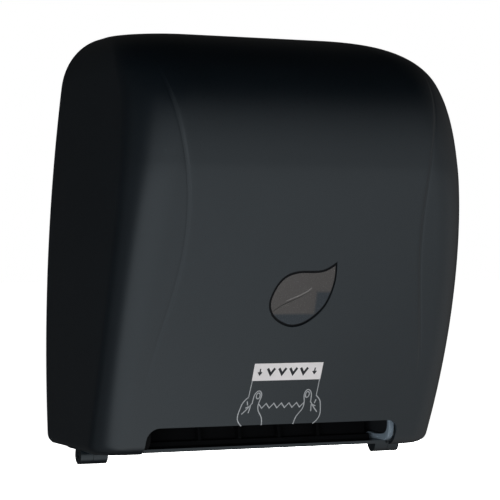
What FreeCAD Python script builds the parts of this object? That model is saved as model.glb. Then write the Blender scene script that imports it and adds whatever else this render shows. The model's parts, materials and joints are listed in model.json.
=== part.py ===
import FreeCAD, Part
import os
from math import acos, cos, pi, radians, sin, sqrt
from FreeCAD import Vector

# Auto-cut pull dispenser for a roll of paper towel, fixed to a wall.
# Millimetres. +X is to the right of someone facing it, +Y goes into the wall, +Z is up.
# Heights in this script count from the lower edge of the cover. The export moves the origin
# to the middle of the four wall holes, on the wall's face.

# ---- cover, outside
CASE_HEIGHT = 385.0
CASE_DEPTH = 223.0
CASE_HALF_WIDTH = 171.0
BELLY_HEIGHT = 256.0        # where the front stands out furthest
FRONT_TUCK = 85.0           # how far the front comes back at its lower edge
TUCK_POWER = 1.5
DOME_POWER = 2.88           # superellipse that carries the front over into the top
SIDE_BOW_RADIUS = 2000.0
SIDE_BOW_HEIGHT = 90.0      # where the sides stand out furthest
SHOULDER_WIDTH = 45.0       # rounding between sides and top: how far in, how far down
SHOULDER_HEIGHT = 50.0
SHOULDER_POWER = 2.13
EDGE_RADIUS_FOOT = 27.0     # rounding between front and sides
EDGE_RADIUS_HEAD = 55.0
EDGE_POWER = 1.5
LIP_RADIUS = 9.0            # lower edge, turned in
HEEL_RADIUS = 12.0          # lower rear corner of each side
COVER_WALL = 3.0
REAR_GAP = 2.0              # between the cover's rear edge and the wall
FRONT_BANDS = 7             # level bands that the form is lofted in, below the belly
DOME_TURNS = (14, 27, 39, 50, 60, 69, 77, 84, 88)   # degrees round the dome, above it

# ---- raised front panel between two S-shaped creases
PANEL_RISE = 1.0
PANEL_EDGE_RISE = 0.12      # what is left of the rise at the panel's two ends
PANEL_FOOT = 50.0
PANEL_HEAD = 340.0
PANEL_FADE = 70.0
WAIST_HEIGHT = 205.0
WAIST_HALF_WIDTH = 112.8
WAIST_SWELL = 22.5
SWELL_BELOW = 170.0
SWELL_ABOVE = 190.0

# ---- outlet notch in the front
NOTCH_HALF_WIDTH = 125.0
NOTCH_HEIGHT = 24.5
NOTCH_CORNER = 11.0

# ---- leaf window: (x, height) from its tip along the upper side and back along the lower side
LEAF = [(32.5, 171.5), (22.0, 165.2), (8.0, 163.6), (-6.0, 163.0), (-18.0, 157.8), (-26.2, 146.0),
        (-28.6, 134.0), (-24.8, 124.8), (-16.0, 117.9), (-4.4, 114.3), (8.0, 116.7), (18.0, 123.2),
        (26.2, 132.2), (31.2, 144.0), (33.4, 157.5), (32.5, 171.5)]
LENS_GAP = 0.3
LENS_RECESS = 0.7
LENS_FLANGE = 4.0
LENS_FLANGE_WALL = 1.4
RETAINER_REACH = 9.5
RETAINER_WALL = 2.0
LAYER_GAP = 0.15            # between the cover, the lens flange and its retainer
STUD_RADIUS = 1.5
STUD_REACH = 6.8            # of the stud's middle from the leaf's edge

# ---- wall plate
PLATE_WALL = 3.0
PLATE_GAP = 4.0             # between the plate's edge and the cover
PLATE_FOOT = 4.0
FLANGE_DEPTH = 9.0
FLANGE_WALL = 2.5
HOLE_RADIUS = 2.75
HOLE_SPACING_X = 150.0
HOLE_SPACING_Z = 170.0
ORIGIN_RISE = 255.0         # height of the middle of the wall holes
BOSS_RADIUS = 9.0
BOSS_HEIGHT = 2.0
PLATE_RIB = 2.2
PLATE_RIB_DEPTH = 4.0

# ---- cutting module
CHEEK_INNER = 125.5
CHEEK_WALL = 3.0
TRAY_FLOOR = 1.0
TRAY_WALL = 3.0
MODULE_TOP = 124.0
SHOULDER_TOP = 145.0
HOOD_WALL = 2.5
DRUM_Y = -95.0
DRUM_Z = 62.0
SHELL_RADIUS = 34.0
SHELL_WALL = 3.0
BAND_WALL = 1.0
BAND_COUNT = 5
BAND_WIDTH = 28.0
BAND_PITCH = 40.0
GROOVE_WIDTH = 5.0
GROOVE_DEPTH = 1.0
DRUM_HALF_LENGTH = 104.0
DRUM_END_WALL = 3.0
SPIGOT_LENGTH = 5.0
JOURNAL_RADIUS = 8.0
RUNNING_GAP = 0.05
BUSH_WALL = 3.0
BUSH_FLANGE = 2.5
SLIT_ANGLE = 340.0          # direction of the knife slit at rest: 0 is forward, 90 is up
SLIT_BELOW = 12.5
SLIT_ABOVE = 6.0

# ---- knife, placed in the drum's own axes: u outward through the slit, v across it
KNIFE_PIVOT_U = 20.0
KNIFE_PIVOT_V = -18.0
KNIFE_SHAFT_RADIUS = 2.5
KNIFE_BOSS_RADIUS = 3.8
KNIFE_SWING = 32.0
BLADE_TIP_U = 31.5
BLADE_TIP_V = 2.0
BLADE_WIDTH = 12.0
BLADE_WALL = 1.2
BLADE_HALF_LENGTH = 98.0
TOOTH_PITCH = 4.0
TOOTH_DEPTH = 3.0
FOLLOWER_U = 17.0
FOLLOWER_V = -29.0
FOLLOWER_RADIUS = 4.0
KNIFE_ARM_WALL = 3.0

# ---- pressure roller
ROLLER_RADIUS = 11.0
ROLLER_ANGLE = 115.0
ROLLER_GAP = 0.3
ROLLER_SHAFT_RADIUS = 3.0
ROLLER_CORE_HALF_LENGTH = 100.0
TYRE_WALL = 3.0
FRAME_PIVOT_Y = -40.0
FRAME_PIVOT_Z = 110.0
FRAME_PIN_RADIUS = 3.0
FRAME_INNER = 112.0
FRAME_WALL = 4.0

# ---- hinge of the cover
HINGE_Y = -71.0
HINGE_Z = -4.0
HINGE_RADIUS = 8.5
HINGE_PIN_RADIUS = 3.0
EAR_INNER = 137.0
EAR_OUTER = 150.7
KNUCKLE_INNER = 151.0
KNUCKLE_OUTER = 163.0

# ---- roll holder
ROLL_Y = -115.0
ROLL_Z = 259.0
CORE_RADIUS = 19.0
HUB_INNER = 94.0
HUB_FLANGE_RADIUS = 24.0
HUB_FLANGE_WALL = 3.0
ARM_INNER = 108.0
ARM_WALL = 3.0
ARM_RIB = 3.0
ARM_STUB_RADIUS = 5.0
ARM_PIVOT_X = 112.0
ARM_PIVOT_Y = -12.0
ARM_PIN_RADIUS = 2.5
ARM_HALF_HEIGHT = 19.0
BRACKET_LUG = 11.0           # height of each lug
BRACKET_LUG_HALF_WIDTH = 6.0
BRACKET_WALL = 2.0

# ---- lock in the top of the cover
LOCK_Y = -44.0
LOCK_RADIUS = 7.9
BARREL_RADIUS = 11.0
BARREL_LENGTH = 24.0
CAM_WALL = 3.0
CAM_REACH = 25.0
CAM_HALF_WIDTH = 2.5
CAM_TOE = 8.0
CAM_TOE_WIDTH = 3.5

parts = {}


# ---------------------------------------------------------------- plain helpers
def box(x0, x1, y0, y1, z0, z1):
    return Part.makeBox(x1 - x0, y1 - y0, z1 - z0, Vector(x0, y0, z0))


def rod_x(x0, x1, y, z, radius):
    return Part.makeCylinder(radius, x1 - x0, Vector(x0, y, z), Vector(1, 0, 0))


def rod_y(x, y0, y1, z, radius):
    return Part.makeCylinder(radius, y1 - y0, Vector(x, y0, z), Vector(0, 1, 0))


def rod_z(x, y, z0, z1, radius):
    return Part.makeCylinder(radius, z1 - z0, Vector(x, y, z0), Vector(0, 0, 1))


def mirrored(shape):
    return shape.mirror(Vector(0, 0, 0), Vector(1, 0, 0))


def joined(first, *others):
    return first.fuse(list(others)).removeSplitter()


def rounded_loop(points, radius):
    """Closed wire through the points, each corner rounded by a tangent arc unless the radius is nought."""
    if not radius:
        return Part.makePolygon(points + points[:1])
    edges = []
    count = len(points)
    cuts = []
    for i, corner in enumerate(points):
        before = (points[i - 1] - corner).normalize()
        after = (points[(i + 1) % count] - corner).normalize()
        half = acos(max(-1.0, min(1.0, before.dot(after)))) / 2
        room = 0.45 * min((points[i - 1] - corner).Length, (points[(i + 1) % count] - corner).Length)
        reach = min(radius * cos(half) / sin(half), room)
        bulge = reach / cos(half) - reach * sin(half) / cos(half)
        middle = corner + (before + after).normalize() * bulge
        cuts.append((corner + before * reach, middle, corner + after * reach))
    for i, (start, middle, end) in enumerate(cuts):
        if (end - start).Length > 1e-6:
            edges.append(Part.Arc(start, middle, end).toShape())
        following = cuts[(i + 1) % count][0]
        if (following - end).Length > 1e-6:
            edges.append(Part.makeLine(end, following))
    return Part.Wire(edges)


def prism(points, radius, along):
    return Part.Face(rounded_loop(points, radius)).extrude(along)


def prism_x(outline, radius, x0, x1):
    """Plate from a (y, z) outline."""
    return prism([Vector(x0, y, z) for y, z in outline], radius, Vector(x1 - x0, 0, 0))


def prism_y(outline, radius, y0, y1):
    """Plate from an (x, z) outline."""
    return prism([Vector(x, y0, z) for x, z in outline], radius, Vector(0, y1 - y0, 0))


def prism_z(outline, radius, z0, z1):
    """Plate from an (x, y) outline."""
    return prism([Vector(x, y, z0) for x, y in outline], radius, Vector(0, 0, z1 - z0))


def strip(path, wall):
    """Outline of a sheet of even wall that follows an open (y, z) path, on the right of its travel."""
    normals = []
    for (y0, z0), (y1, z1) in zip(path, path[1:]):
        length = sqrt((y1 - y0) ** 2 + (z1 - z0) ** 2)
        normals.append(((z1 - z0) / length, -(y1 - y0) / length))
    inner = []
    for i, (y, z) in enumerate(path):
        a = normals[max(i - 1, 0)]
        b = normals[min(i, len(normals) - 1)]
        scale = wall / (1 + a[0] * b[0] + a[1] * b[1])
        inner.append((y + (a[0] + b[0]) * scale, z + (a[1] + b[1]) * scale))
    return list(path) + inner[::-1]


def spline(points):
    curve = Part.BSplineCurve()
    curve.interpolate(Points=points)
    return curve.toShape()


def polygon_loop(radius, height, sides):
    turns = [2 * pi * i / sides for i in range(sides)]
    corners = [Vector(radius * cos(turn), radius * sin(turn), height) for turn in turns]
    return Part.makePolygon(corners + corners[:1])


def polygon_rod(place, direction, radius, length, sides):
    """Rod of a few flat sides, for what repeats or lies hidden."""
    rod = Part.Face(polygon_loop(radius, 0.0, sides)).extrude(Vector(0, 0, length))
    rod.Placement = FreeCAD.Placement(place, FreeCAD.Rotation(Vector(0, 0, 1), direction))
    return rod


def wound_spring(radius, wire, turns, sides=14):
    """Close-wound spring along +Z from the origin, each turn drawn as one ridge."""
    pitch = 2 * wire
    loops = [polygon_loop(radius, 0.0, sides)]
    for turn in range(turns):
        loops.append(polygon_loop(radius + wire, pitch * (turn + 0.5), sides))
        loops.append(polygon_loop(radius, pitch * (turn + 1), sides))
    bore = polygon_rod(Vector(0, 0, -1), Vector(0, 0, 1), radius - wire, pitch * turns + 2, sides)
    return Part.makeLoft(loops, True, True).cut(bore)


def wire_eye(radius, wire, sides=14):
    """Ring of square wire in the XY plane, round the origin."""
    outer = polygon_rod(Vector(0, 0, -wire), Vector(0, 0, 1), radius + wire, 2 * wire, sides)
    return outer.cut(polygon_rod(Vector(0, 0, -2 * wire), Vector(0, 0, 1), radius - wire, 4 * wire, sides))


def screw(place, direction, head_radius, head_height, shank_radius, shank_length):
    """Hexagon-head screw: place is the middle of the seat under the head, direction the way it is driven."""
    head = polygon_rod(place, direction * -1, head_radius, head_height, 6)
    return joined(head, polygon_rod(place, direction, shank_radius, shank_length, 8))


def add(name, *solids):
    parts[name] = solids[0] if len(solids) == 1 else Part.makeCompound(list(solids))


# ---------------------------------------------------------------- the case's form
def case_depth(height, inset=0.0):
    if height < BELLY_HEIGHT:
        return CASE_DEPTH - inset - FRONT_TUCK * (1 - height / BELLY_HEIGHT) ** TUCK_POWER
    climb = min(1.0, (height - BELLY_HEIGHT) / (CASE_HEIGHT - inset - BELLY_HEIGHT))
    return (CASE_DEPTH - inset) * (1 - climb ** DOME_POWER) ** (1 / DOME_POWER)


def case_half_width(height, inset=0.0):
    width = CASE_HALF_WIDTH - inset - (height - SIDE_BOW_HEIGHT) ** 2 / (2 * SIDE_BOW_RADIUS)
    reach, drop = SHOULDER_WIDTH - inset, SHOULDER_HEIGHT - inset
    over = min(max(0.0, height - (CASE_HEIGHT - SHOULDER_HEIGHT)) / drop, 1.0)
    return width - reach + reach * (1 - over ** SHOULDER_POWER) ** (1 / SHOULDER_POWER)


def edge_radius(height, inset):
    share = max(0.0, height / CASE_HEIGHT) ** EDGE_POWER
    return EDGE_RADIUS_FOOT + (EDGE_RADIUS_HEAD - EDGE_RADIUS_FOOT) * share - inset


def crease_half_width(height):
    span = SWELL_ABOVE if height > WAIST_HEIGHT else SWELL_BELOW
    turn = min(1.0, abs(height - WAIST_HEIGHT) / span)
    return WAIST_HALF_WIDTH + WAIST_SWELL * sin(turn * pi / 2) ** 2


def panel_rise(height):
    near = min((height - PANEL_FOOT) / PANEL_FADE, (PANEL_HEAD - height) / PANEL_FADE, 1.0)
    share = max(0.0, near)
    return PANEL_EDGE_RISE + (PANEL_RISE - PANEL_EDGE_RISE) * share * share * (3 - 2 * share)


def no_rise(height):
    return 0.0


def level_loop(height, inset, rear, turned, depth, rise):
    """Level section of the case as a wire; turned is how far its rounded lower edge has come in here."""
    width = case_half_width(height, inset) - turned
    front = turned - depth - rise(height)
    radius = min(edge_radius(height, inset) - turned / 2, 0.9 * (rear - front))
    bulge = radius * (1 - sqrt(0.5))
    side, turn = Vector(width, front + radius, height), Vector(width - radius, front, height)
    corner = Part.Arc(side, Vector(width - bulge, front + bulge, height), turn).toShape()
    rear_right, rear_left = Vector(width, rear, height), Vector(-width, rear, height)
    front_line = Part.makeLine(turn, Vector(-turn.x, turn.y, height))
    left_line = Part.makeLine(Vector(-width, side.y, height), rear_left)
    return Part.Wire([Part.makeLine(rear_right, side), corner, front_line, mirrored(corner), left_line,
                      Part.makeLine(rear_left, rear_right)])


def case_solid(inset, rear, floor, lip=0.0, rise=no_rise):
    """Solid of the case, its outside moved in by the inset, lofted in level bands from its floor up."""
    levels = []
    if lip:
        for turn in (0, 30, 60):
            levels.append((floor + lip * (1 - cos(radians(turn))), lip * (1 - sin(radians(turn)))))
    start = floor + lip
    levels += [(start + (BELLY_HEIGHT - start) * band / FRONT_BANDS, 0.0) for band in range(FRONT_BANDS + 1)]
    climb = CASE_HEIGHT - inset - BELLY_HEIGHT
    levels += [(BELLY_HEIGHT + climb * sin(radians(turn)) ** (2 / DOME_POWER), 0.0) for turn in DOME_TURNS]
    loops = [level_loop(level, inset, rear, turned, case_depth(level, inset), rise)
             for level, turned in levels]
    top_depth = case_depth(levels[-1][0], inset) / 2
    loops.append(level_loop(CASE_HEIGHT - inset, inset, rear, 0.0, top_depth, rise))
    return Part.makeLoft(loops, True, True)


def case_outline(inset, floor, rear, front):
    """Upright plate with the case's outline, between two depths."""
    bend = CASE_HEIGHT - SHOULDER_HEIGHT
    levels = [floor, (floor + bend) / 2, bend, CASE_HEIGHT - SHOULDER_HEIGHT / 3, CASE_HEIGHT - inset]
    corners = [Vector(case_half_width(level, inset), rear, level) for level in levels]
    foot, belly, side, shoulder, peak = corners
    right = [Part.Arc(foot, belly, side).toShape(), Part.Arc(side, shoulder, peak).toShape()]
    left = [mirrored(edge) for edge in right]
    closing = [Part.makeLine(peak, Vector(-peak.x, rear, peak.z)),
               Part.makeLine(Vector(-foot.x, rear, foot.z), foot)]
    outline = Part.Wire(Part.__sortEdges__(right + left + closing))
    return Part.Face(outline).extrude(Vector(0, front - rear, 0))


def leaf_offset(share, grow):
    """Point beside the leaf's outline, a share of the way round from its tip, moved out by grow."""
    edge = spline([Vector(x, 0, z) for x, z in LEAF])
    place = edge.getParameterByLength(edge.Length * share)
    tangent = edge.tangentAt(place)
    return edge.valueAt(place) + Vector(tangent.z, 0, -tangent.x).normalize() * grow


def leaf_prism(grow):
    """Deep prism of the leaf's outline, made larger by grow, or smaller when it is negative."""
    steps = 15
    tip = Vector(LEAF[0][0], 0, LEAF[0][1])
    if grow == 0:
        edges = [spline([Vector(x, 0, z) for x, z in LEAF])]
    elif grow > 0:
        points = [leaf_offset(step / steps, grow) for step in range(steps + 1)]
        outward = ((points[0] - tip) + (points[-1] - tip)).normalize()
        edges = [spline(points), Part.Arc(points[-1], tip + outward * grow, points[0]).toShape()]
    else:
        points = [leaf_offset(step / steps, grow) for step in range(1, steps)]
        sides = [(points[0] - tip).normalize(), (points[-1] - tip).normalize()]
        half_angle = acos(sides[0].dot(sides[1])) / 2
        inner_tip = tip + (sides[0] + sides[1]).normalize() * (-grow / sin(half_angle))
        edges = [spline([inner_tip] + points + [inner_tip])]
    face = Part.Face(Part.Wire(edges))
    face.translate(Vector(0, -1.5 * CASE_DEPTH, 0))
    return face.extrude(Vector(0, CASE_DEPTH, 0))


# ---------------------------------------------------------------- cover
def crease_prism():
    """Tall prism between the two S-shaped creases."""
    levels = [PANEL_FOOT + (PANEL_HEAD - PANEL_FOOT) * step / 8 for step in range(9)]
    right = [Vector(crease_half_width(level), -1.5 * CASE_DEPTH, level) for level in levels]
    left = [Vector(-point.x, point.y, point.z) for point in right]
    edges = [spline(right), Part.makeLine(right[-1], left[-1]),
             spline(left[::-1]), Part.makeLine(left[0], right[0])]
    return Part.Face(Part.Wire(edges)).extrude(Vector(0, CASE_DEPTH, 0))


def cover_shell():
    outside = case_solid(0.0, -REAR_GAP, 0.0, LIP_RADIUS)
    panel = case_solid(0.0, -REAR_GAP, 0.0, 0.0, panel_rise).common(crease_prism())
    inside = case_solid(COVER_WALL, 10.0, COVER_WALL, LIP_RADIUS - COVER_WALL)
    shell = outside.fuse(panel).cut(inside)
    half = case_half_width(0.0) - LIP_RADIUS + 0.5
    front = -case_depth(0.0) + LIP_RADIUS - 0.5
    floor_hole = prism_z([(-half, 10), (-half, front), (half, front), (half, 10)],
                         EDGE_RADIUS_FOOT - LIP_RADIUS, -1, LIP_RADIUS)
    wall_x = case_half_width(0.0, COVER_WALL)
    straight_rear = box(-wall_x, wall_x, HINGE_Y + HINGE_RADIUS + 15, 10, -1, LIP_RADIUS + 2)
    notch = prism_y([(-NOTCH_HALF_WIDTH, -30), (-NOTCH_HALF_WIDTH, NOTCH_HEIGHT),
                     (NOTCH_HALF_WIDTH, NOTCH_HEIGHT), (NOTCH_HALF_WIDTH, -30)],
                    NOTCH_CORNER, -CASE_DEPTH, HINGE_Y - 30)
    heel = box(-200, 200, -REAR_GAP - HEEL_RADIUS, 5, -5, HEEL_RADIUS)
    heel = heel.cut(rod_x(-200, 200, -REAR_GAP - HEEL_RADIUS, HEEL_RADIUS, HEEL_RADIUS))
    lock_hole = rod_z(0, LOCK_Y, CASE_HEIGHT - 20, CASE_HEIGHT + 5, LOCK_RADIUS + 0.4)
    shell = shell.cut([floor_hole, straight_rear, notch, heel, lock_hole, leaf_prism(0.0)])
    knuckles = []
    for side in (1, -1):
        barrel = rod_x(KNUCKLE_INNER, KNUCKLE_OUTER, HINGE_Y, HINGE_Z, HINGE_RADIUS)
        gusset = prism_x([(HINGE_Y - HINGE_RADIUS, HINGE_Z), (HINGE_Y + HINGE_RADIUS, HINGE_Z),
                          (HINGE_Y + HINGE_RADIUS + 8, 16), (HINGE_Y - HINGE_RADIUS - 8, 16)], 2.0,
                         KNUCKLE_INNER, case_half_width(0.0) - 1.2)
        pin_hole = rod_x(KNUCKLE_INNER - 1, KNUCKLE_OUTER - 2, HINGE_Y, HINGE_Z,
                         HINGE_PIN_RADIUS + RUNNING_GAP)
        trim = case_solid(0.6, 10.0, -20.0)
        knuckle = joined(barrel, gusset.common(trim)).cut(pin_hole)
        knuckles.append(knuckle if side > 0 else mirrored(knuckle))
    studs = []
    stud_end = COVER_WALL + LENS_FLANGE_WALL + RETAINER_WALL + 2.5
    for x, z in stud_places():
        y = -case_depth(z)
        studs.append(rod_y(x, y + 1.5, y + stud_end, z, STUD_RADIUS))
    shell = shell.fuse(knuckles + studs)
    add("cover_shell", shell)


def stud_places():
    """Middles of the studs that hold the lens retainer, evenly spread round the leaf."""
    points = [leaf_offset(share, STUD_REACH) for share in (0.1, 0.3, 0.5, 0.7, 0.9)]
    return [(point.x, point.z) for point in points]


def window():
    behind_lens = COVER_WALL + LAYER_GAP + LENS_FLANGE_WALL
    pane = case_solid(LENS_RECESS, 10.0, 3.0).common(leaf_prism(-LENS_GAP))
    flange = case_solid(COVER_WALL + LAYER_GAP, 10.0, 3.0).common(leaf_prism(LENS_FLANGE))
    add("window_lens", pane.fuse(flange).cut(case_solid(behind_lens, 10.0, 3.0)))
    ring = case_solid(behind_lens + LAYER_GAP, 10.0, 3.0).common(leaf_prism(RETAINER_REACH))
    holes = [rod_y(x, -CASE_DEPTH, -100, z, STUD_RADIUS + 0.1) for x, z in stud_places()]
    back = case_solid(behind_lens + LAYER_GAP + RETAINER_WALL, 10.0, 3.0)
    add("lens_retainer", ring.cut([back, leaf_prism(-1.0)] + holes))


def lock():
    top = CASE_HEIGHT - COVER_WALL
    foot = top - BARREL_LENGTH
    roof = case_solid(COVER_WALL, 10.0, 3.0)
    barrel = rod_z(0, LOCK_Y, foot, top + 1, BARREL_RADIUS).common(roof)
    barrel = barrel.cut(rod_z(0, LOCK_Y, foot - 1, top + 5, LOCK_RADIUS + RUNNING_GAP))
    add("lock_barrel", barrel)
    nut = prism_z([(15 * cos(radians(a)), LOCK_Y + 15 * sin(radians(a))) for a in range(30, 390, 60)], 1.0,
                  foot + 8, foot + 12)
    add("lock_nut", nut.cut(rod_z(0, LOCK_Y, foot, foot + 20, BARREL_RADIUS)))
    plug = rod_z(0, LOCK_Y, foot, CASE_HEIGHT, LOCK_RADIUS)
    keyway = box(-1.0, 1.0, LOCK_Y - 4.5, LOCK_Y + 4.5, CASE_HEIGHT - 3, CASE_HEIGHT + 5)
    add("lock_plug", plug.cut(keyway))
    cam_top = foot
    arm = box(0, CAM_REACH, LOCK_Y - CAM_HALF_WIDTH, LOCK_Y + CAM_HALF_WIDTH, cam_top - CAM_WALL, cam_top)
    toe = box(CAM_REACH - CAM_TOE_WIDTH, CAM_REACH, LOCK_Y, LOCK_Y + CAM_TOE, cam_top - CAM_WALL, cam_top)
    disc = rod_z(0, LOCK_Y, cam_top - CAM_WALL, cam_top, LOCK_RADIUS)
    cam = joined(arm, toe, disc).cut(rod_z(0, LOCK_Y, cam_top - 10, cam_top + 1, 2.0))
    add("latch_cam", cam)
    add("cam_screw", screw(Vector(0, LOCK_Y, cam_top - CAM_WALL), Vector(0, 0, 1), 4.0, 2.4, 2.0, CAM_WALL))
    keeper(cam_top)


def keeper(cam_top):
    """Bracket whose post the cam's toe passes behind."""
    post_rear = LOCK_Y + CAM_REACH - CAM_TOE_WIDTH - 1.0
    post_front = post_rear - 5.0
    shelf_low = cam_top + 2.0
    post = box(-9, -4, post_front, post_rear, cam_top - CAM_WALL - 2, shelf_low + 3)
    shelf = box(-16, 16, post_front, -PLATE_WALL, shelf_low, shelf_low + 3)
    foot_outline = [(-16, shelf_low - 14), (-16, shelf_low + 3), (16, shelf_low + 3), (16, shelf_low - 14)]
    foot = prism_y(foot_outline, 2.0, -PLATE_WALL - BRACKET_WALL, -PLATE_WALL)
    holes = [rod_y(x, -20, 5, z, SCREW_HOLE) for x, z in keeper_screw_places()]
    add("latch_keeper", joined(shelf, post, foot).cut(holes))


# ---------------------------------------------------------------- wall plate and roll holder
def wall_hole_places():
    return [(x * HOLE_SPACING_X / 2, ORIGIN_RISE + z * HOLE_SPACING_Z / 2) for x in (-1, 1) for z in (-1, 1)]


def back_plate():
    edge = COVER_WALL + PLATE_GAP
    front_of_flange = -PLATE_WALL - FLANGE_DEPTH
    plate = case_outline(edge, PLATE_FOOT, 0.0, -PLATE_WALL)
    flange = case_outline(edge, PLATE_FOOT, -PLATE_WALL, front_of_flange)
    flange = flange.cut(case_outline(edge + FLANGE_WALL, PLATE_FOOT - 20, 5.0, -CASE_DEPTH))
    ribs = [box(x - PLATE_RIB / 2, x + PLATE_RIB / 2, -PLATE_WALL - PLATE_RIB_DEPTH, -PLATE_WALL,
                SHOULDER_TOP + 8, ROLL_Z + 85) for x in (-45, 45)]
    ribs += [box(-90, 90, -PLATE_WALL - PLATE_RIB_DEPTH, -PLATE_WALL, z - PLATE_RIB / 2, z + PLATE_RIB / 2)
             for z in (205, 305)]
    bosses = [rod_y(x, -PLATE_WALL - BOSS_HEIGHT, -PLATE_WALL, z, BOSS_RADIUS) for x, z in wall_hole_places()]
    plate = plate.fuse([flange] + ribs + bosses)
    holes = [rod_y(x, -20, 5, z, HOLE_RADIUS) for x, z in wall_hole_places()]
    holes += [rod_y(x, -20, 5, z, SCREW_HOLE) for x, z in frame_screw_places()]
    add("back_plate", plate.cut(holes).removeSplitter())


CHEEK_FOOT_MIDDLE = CHEEK_INNER + CHEEK_WALL + 8.0
CHEEK_FOOT_LEVELS = (24.0, 112.0)
SCREW_RADIUS = 2.0
SCREW_HOLE = SCREW_RADIUS + 0.1
SCREW_HEAD_RADIUS = 3.6
SCREW_HEAD_HEIGHT = 2.2
BRACKET_SCREW_X = ARM_PIVOT_X - BRACKET_LUG_HALF_WIDTH - SCREW_HEAD_RADIUS - 0.4
KEEPER_SCREW_X = 11.0
DRUM_SCREW_ANGLES = (60, 230)


def keeper_screw_places():
    return [(side * KEEPER_SCREW_X, CASE_HEIGHT - COVER_WALL - BARREL_LENGTH - 6) for side in (-1, 1)]


def frame_screw_places():
    """Where screws go through a foot into the back plate: cheeks, arm brackets and keeper."""
    places = [(side * CHEEK_FOOT_MIDDLE, z) for side in (-1, 1) for z in CHEEK_FOOT_LEVELS]
    places += [(side * BRACKET_SCREW_X, ROLL_Z + z) for side in (-1, 1) for z in (-26, 26)]
    return places + keeper_screw_places()


def frame_screws():
    screws = []
    for x, z in frame_screw_places():
        seat = -PLATE_WALL - (CHEEK_WALL if abs(x) > CHEEK_INNER else BRACKET_WALL)
        screws.append(screw(Vector(x, seat, z), Vector(0, 1, 0), SCREW_HEAD_RADIUS, SCREW_HEAD_HEIGHT,
                            SCREW_RADIUS, -seat - 0.6))
    add("frame_screws", *screws)


def roll_holder():
    knuckle_low = ROLL_Z - ARM_HALF_HEIGHT - 2
    knuckle_high = ROLL_Z + ARM_HALF_HEIGHT + 2
    spring_room = 6.0
    tip = ROLL_Y - 6
    outline = [(ARM_PIVOT_Y, ROLL_Z - ARM_HALF_HEIGHT), (ARM_PIVOT_Y, ROLL_Z + ARM_HALF_HEIGHT),
               (tip, ROLL_Z + 15), (tip, ROLL_Z - 15)]
    inner_outline = [(ARM_PIVOT_Y - 9, ROLL_Z - ARM_HALF_HEIGHT + 3.5),
                     (ARM_PIVOT_Y - 9, ROLL_Z + ARM_HALF_HEIGHT - 3.5),
                     (ROLL_Y + 14, ROLL_Z + 12), (ROLL_Y + 14, ROLL_Z - 12)]
    outer_face = ARM_INNER + ARM_WALL + ARM_RIB
    arm = prism_x(outline, 3.0, ARM_INNER, outer_face)
    arm = arm.fuse(rod_x(ARM_INNER, outer_face, ROLL_Y, ROLL_Z, 17.0))
    arm = arm.cut(prism_x(inner_outline, 4.0, ARM_INNER + ARM_WALL, outer_face + 1))
    knuckle_top = knuckle_high - spring_room
    arm = arm.fuse(rod_z(ARM_PIVOT_X, ARM_PIVOT_Y, knuckle_low, knuckle_top, 5.0))
    arm = arm.cut([rod_z(ARM_PIVOT_X, ARM_PIVOT_Y, 0, CASE_HEIGHT, ARM_PIN_RADIUS + RUNNING_GAP),
                   box(ARM_INNER - 5, outer_face + 5, ARM_PIVOT_Y - 8, 0, knuckle_top, CASE_HEIGHT),
                   rod_x(ARM_INNER - 1, outer_face + 1, ROLL_Y, ROLL_Z, ARM_STUB_RADIUS + RUNNING_GAP)])
    lug_inner, lug_outer = ARM_PIVOT_X - BRACKET_LUG_HALF_WIDTH, ARM_PIVOT_X + BRACKET_LUG_HALF_WIDTH
    lug_outline = [(lug_inner, -PLATE_WALL), (lug_inner, ARM_PIVOT_Y - 6), (lug_outer, ARM_PIVOT_Y - 6),
                   (lug_outer, -PLATE_WALL)]
    lug_low = knuckle_low - 0.4 - BRACKET_LUG
    lug_high = knuckle_high + 0.4 + BRACKET_LUG
    lugs = [prism_z(lug_outline, 0.0, lug_low, knuckle_low - 0.4),
            prism_z(lug_outline, 0.0, knuckle_high + 0.4, lug_high)]
    base = prism_y([(ARM_PIVOT_X - 14, lug_low), (ARM_PIVOT_X - 14, lug_high), (ARM_PIVOT_X + 10, lug_high),
                    (ARM_PIVOT_X + 10, lug_low)], 0.0, -PLATE_WALL - BRACKET_WALL, -PLATE_WALL)
    holes = [rod_y(BRACKET_SCREW_X, -20, 0, ROLL_Z + z, SCREW_HOLE) for z in (-26, 26)]
    holes.append(rod_z(ARM_PIVOT_X, ARM_PIVOT_Y, 0, CASE_HEIGHT, ARM_PIN_RADIUS))
    bracket = joined(base, *lugs).cut(holes)
    pin = rod_z(ARM_PIVOT_X, ARM_PIVOT_Y, lug_low, lug_high, ARM_PIN_RADIUS)
    pin = joined(pin, rod_z(ARM_PIVOT_X, ARM_PIVOT_Y, lug_high, lug_high + 1.5, 4.0))
    spring = wound_spring(3.9, 0.5, 4)
    spring.translate(Vector(ARM_PIVOT_X, ARM_PIVOT_Y, knuckle_top + 0.7))
    leg_place = Vector(ARM_PIVOT_X + 3.9, ARM_PIVOT_Y, knuckle_top + 0.7)
    leg = polygon_rod(leg_place, Vector(0, -1, 0), 0.5, 14.0, 8)
    spring = Part.makeCompound([spring, leg])
    clip = rod_x(outer_face + 0.3, outer_face + 1.5, ROLL_Y, ROLL_Z, 8.0)
    clip = clip.cut(rod_x(outer_face, outer_face + 5, ROLL_Y, ROLL_Z, ARM_STUB_RADIUS - 0.8))
    for side, word in ((-1, "left"), (1, "right")):
        place = mirrored if side < 0 else (lambda shape: shape)
        add("roll_arm_" + word, place(arm))
        add("arm_bracket_" + word, place(bracket))
        add("arm_spring_" + word, place(spring))
        add("core_hub_" + word, place(core_hub()))
        add("hub_clip_" + word, place(clip))
    add("arm_pins", mirrored(pin), pin)


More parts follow.
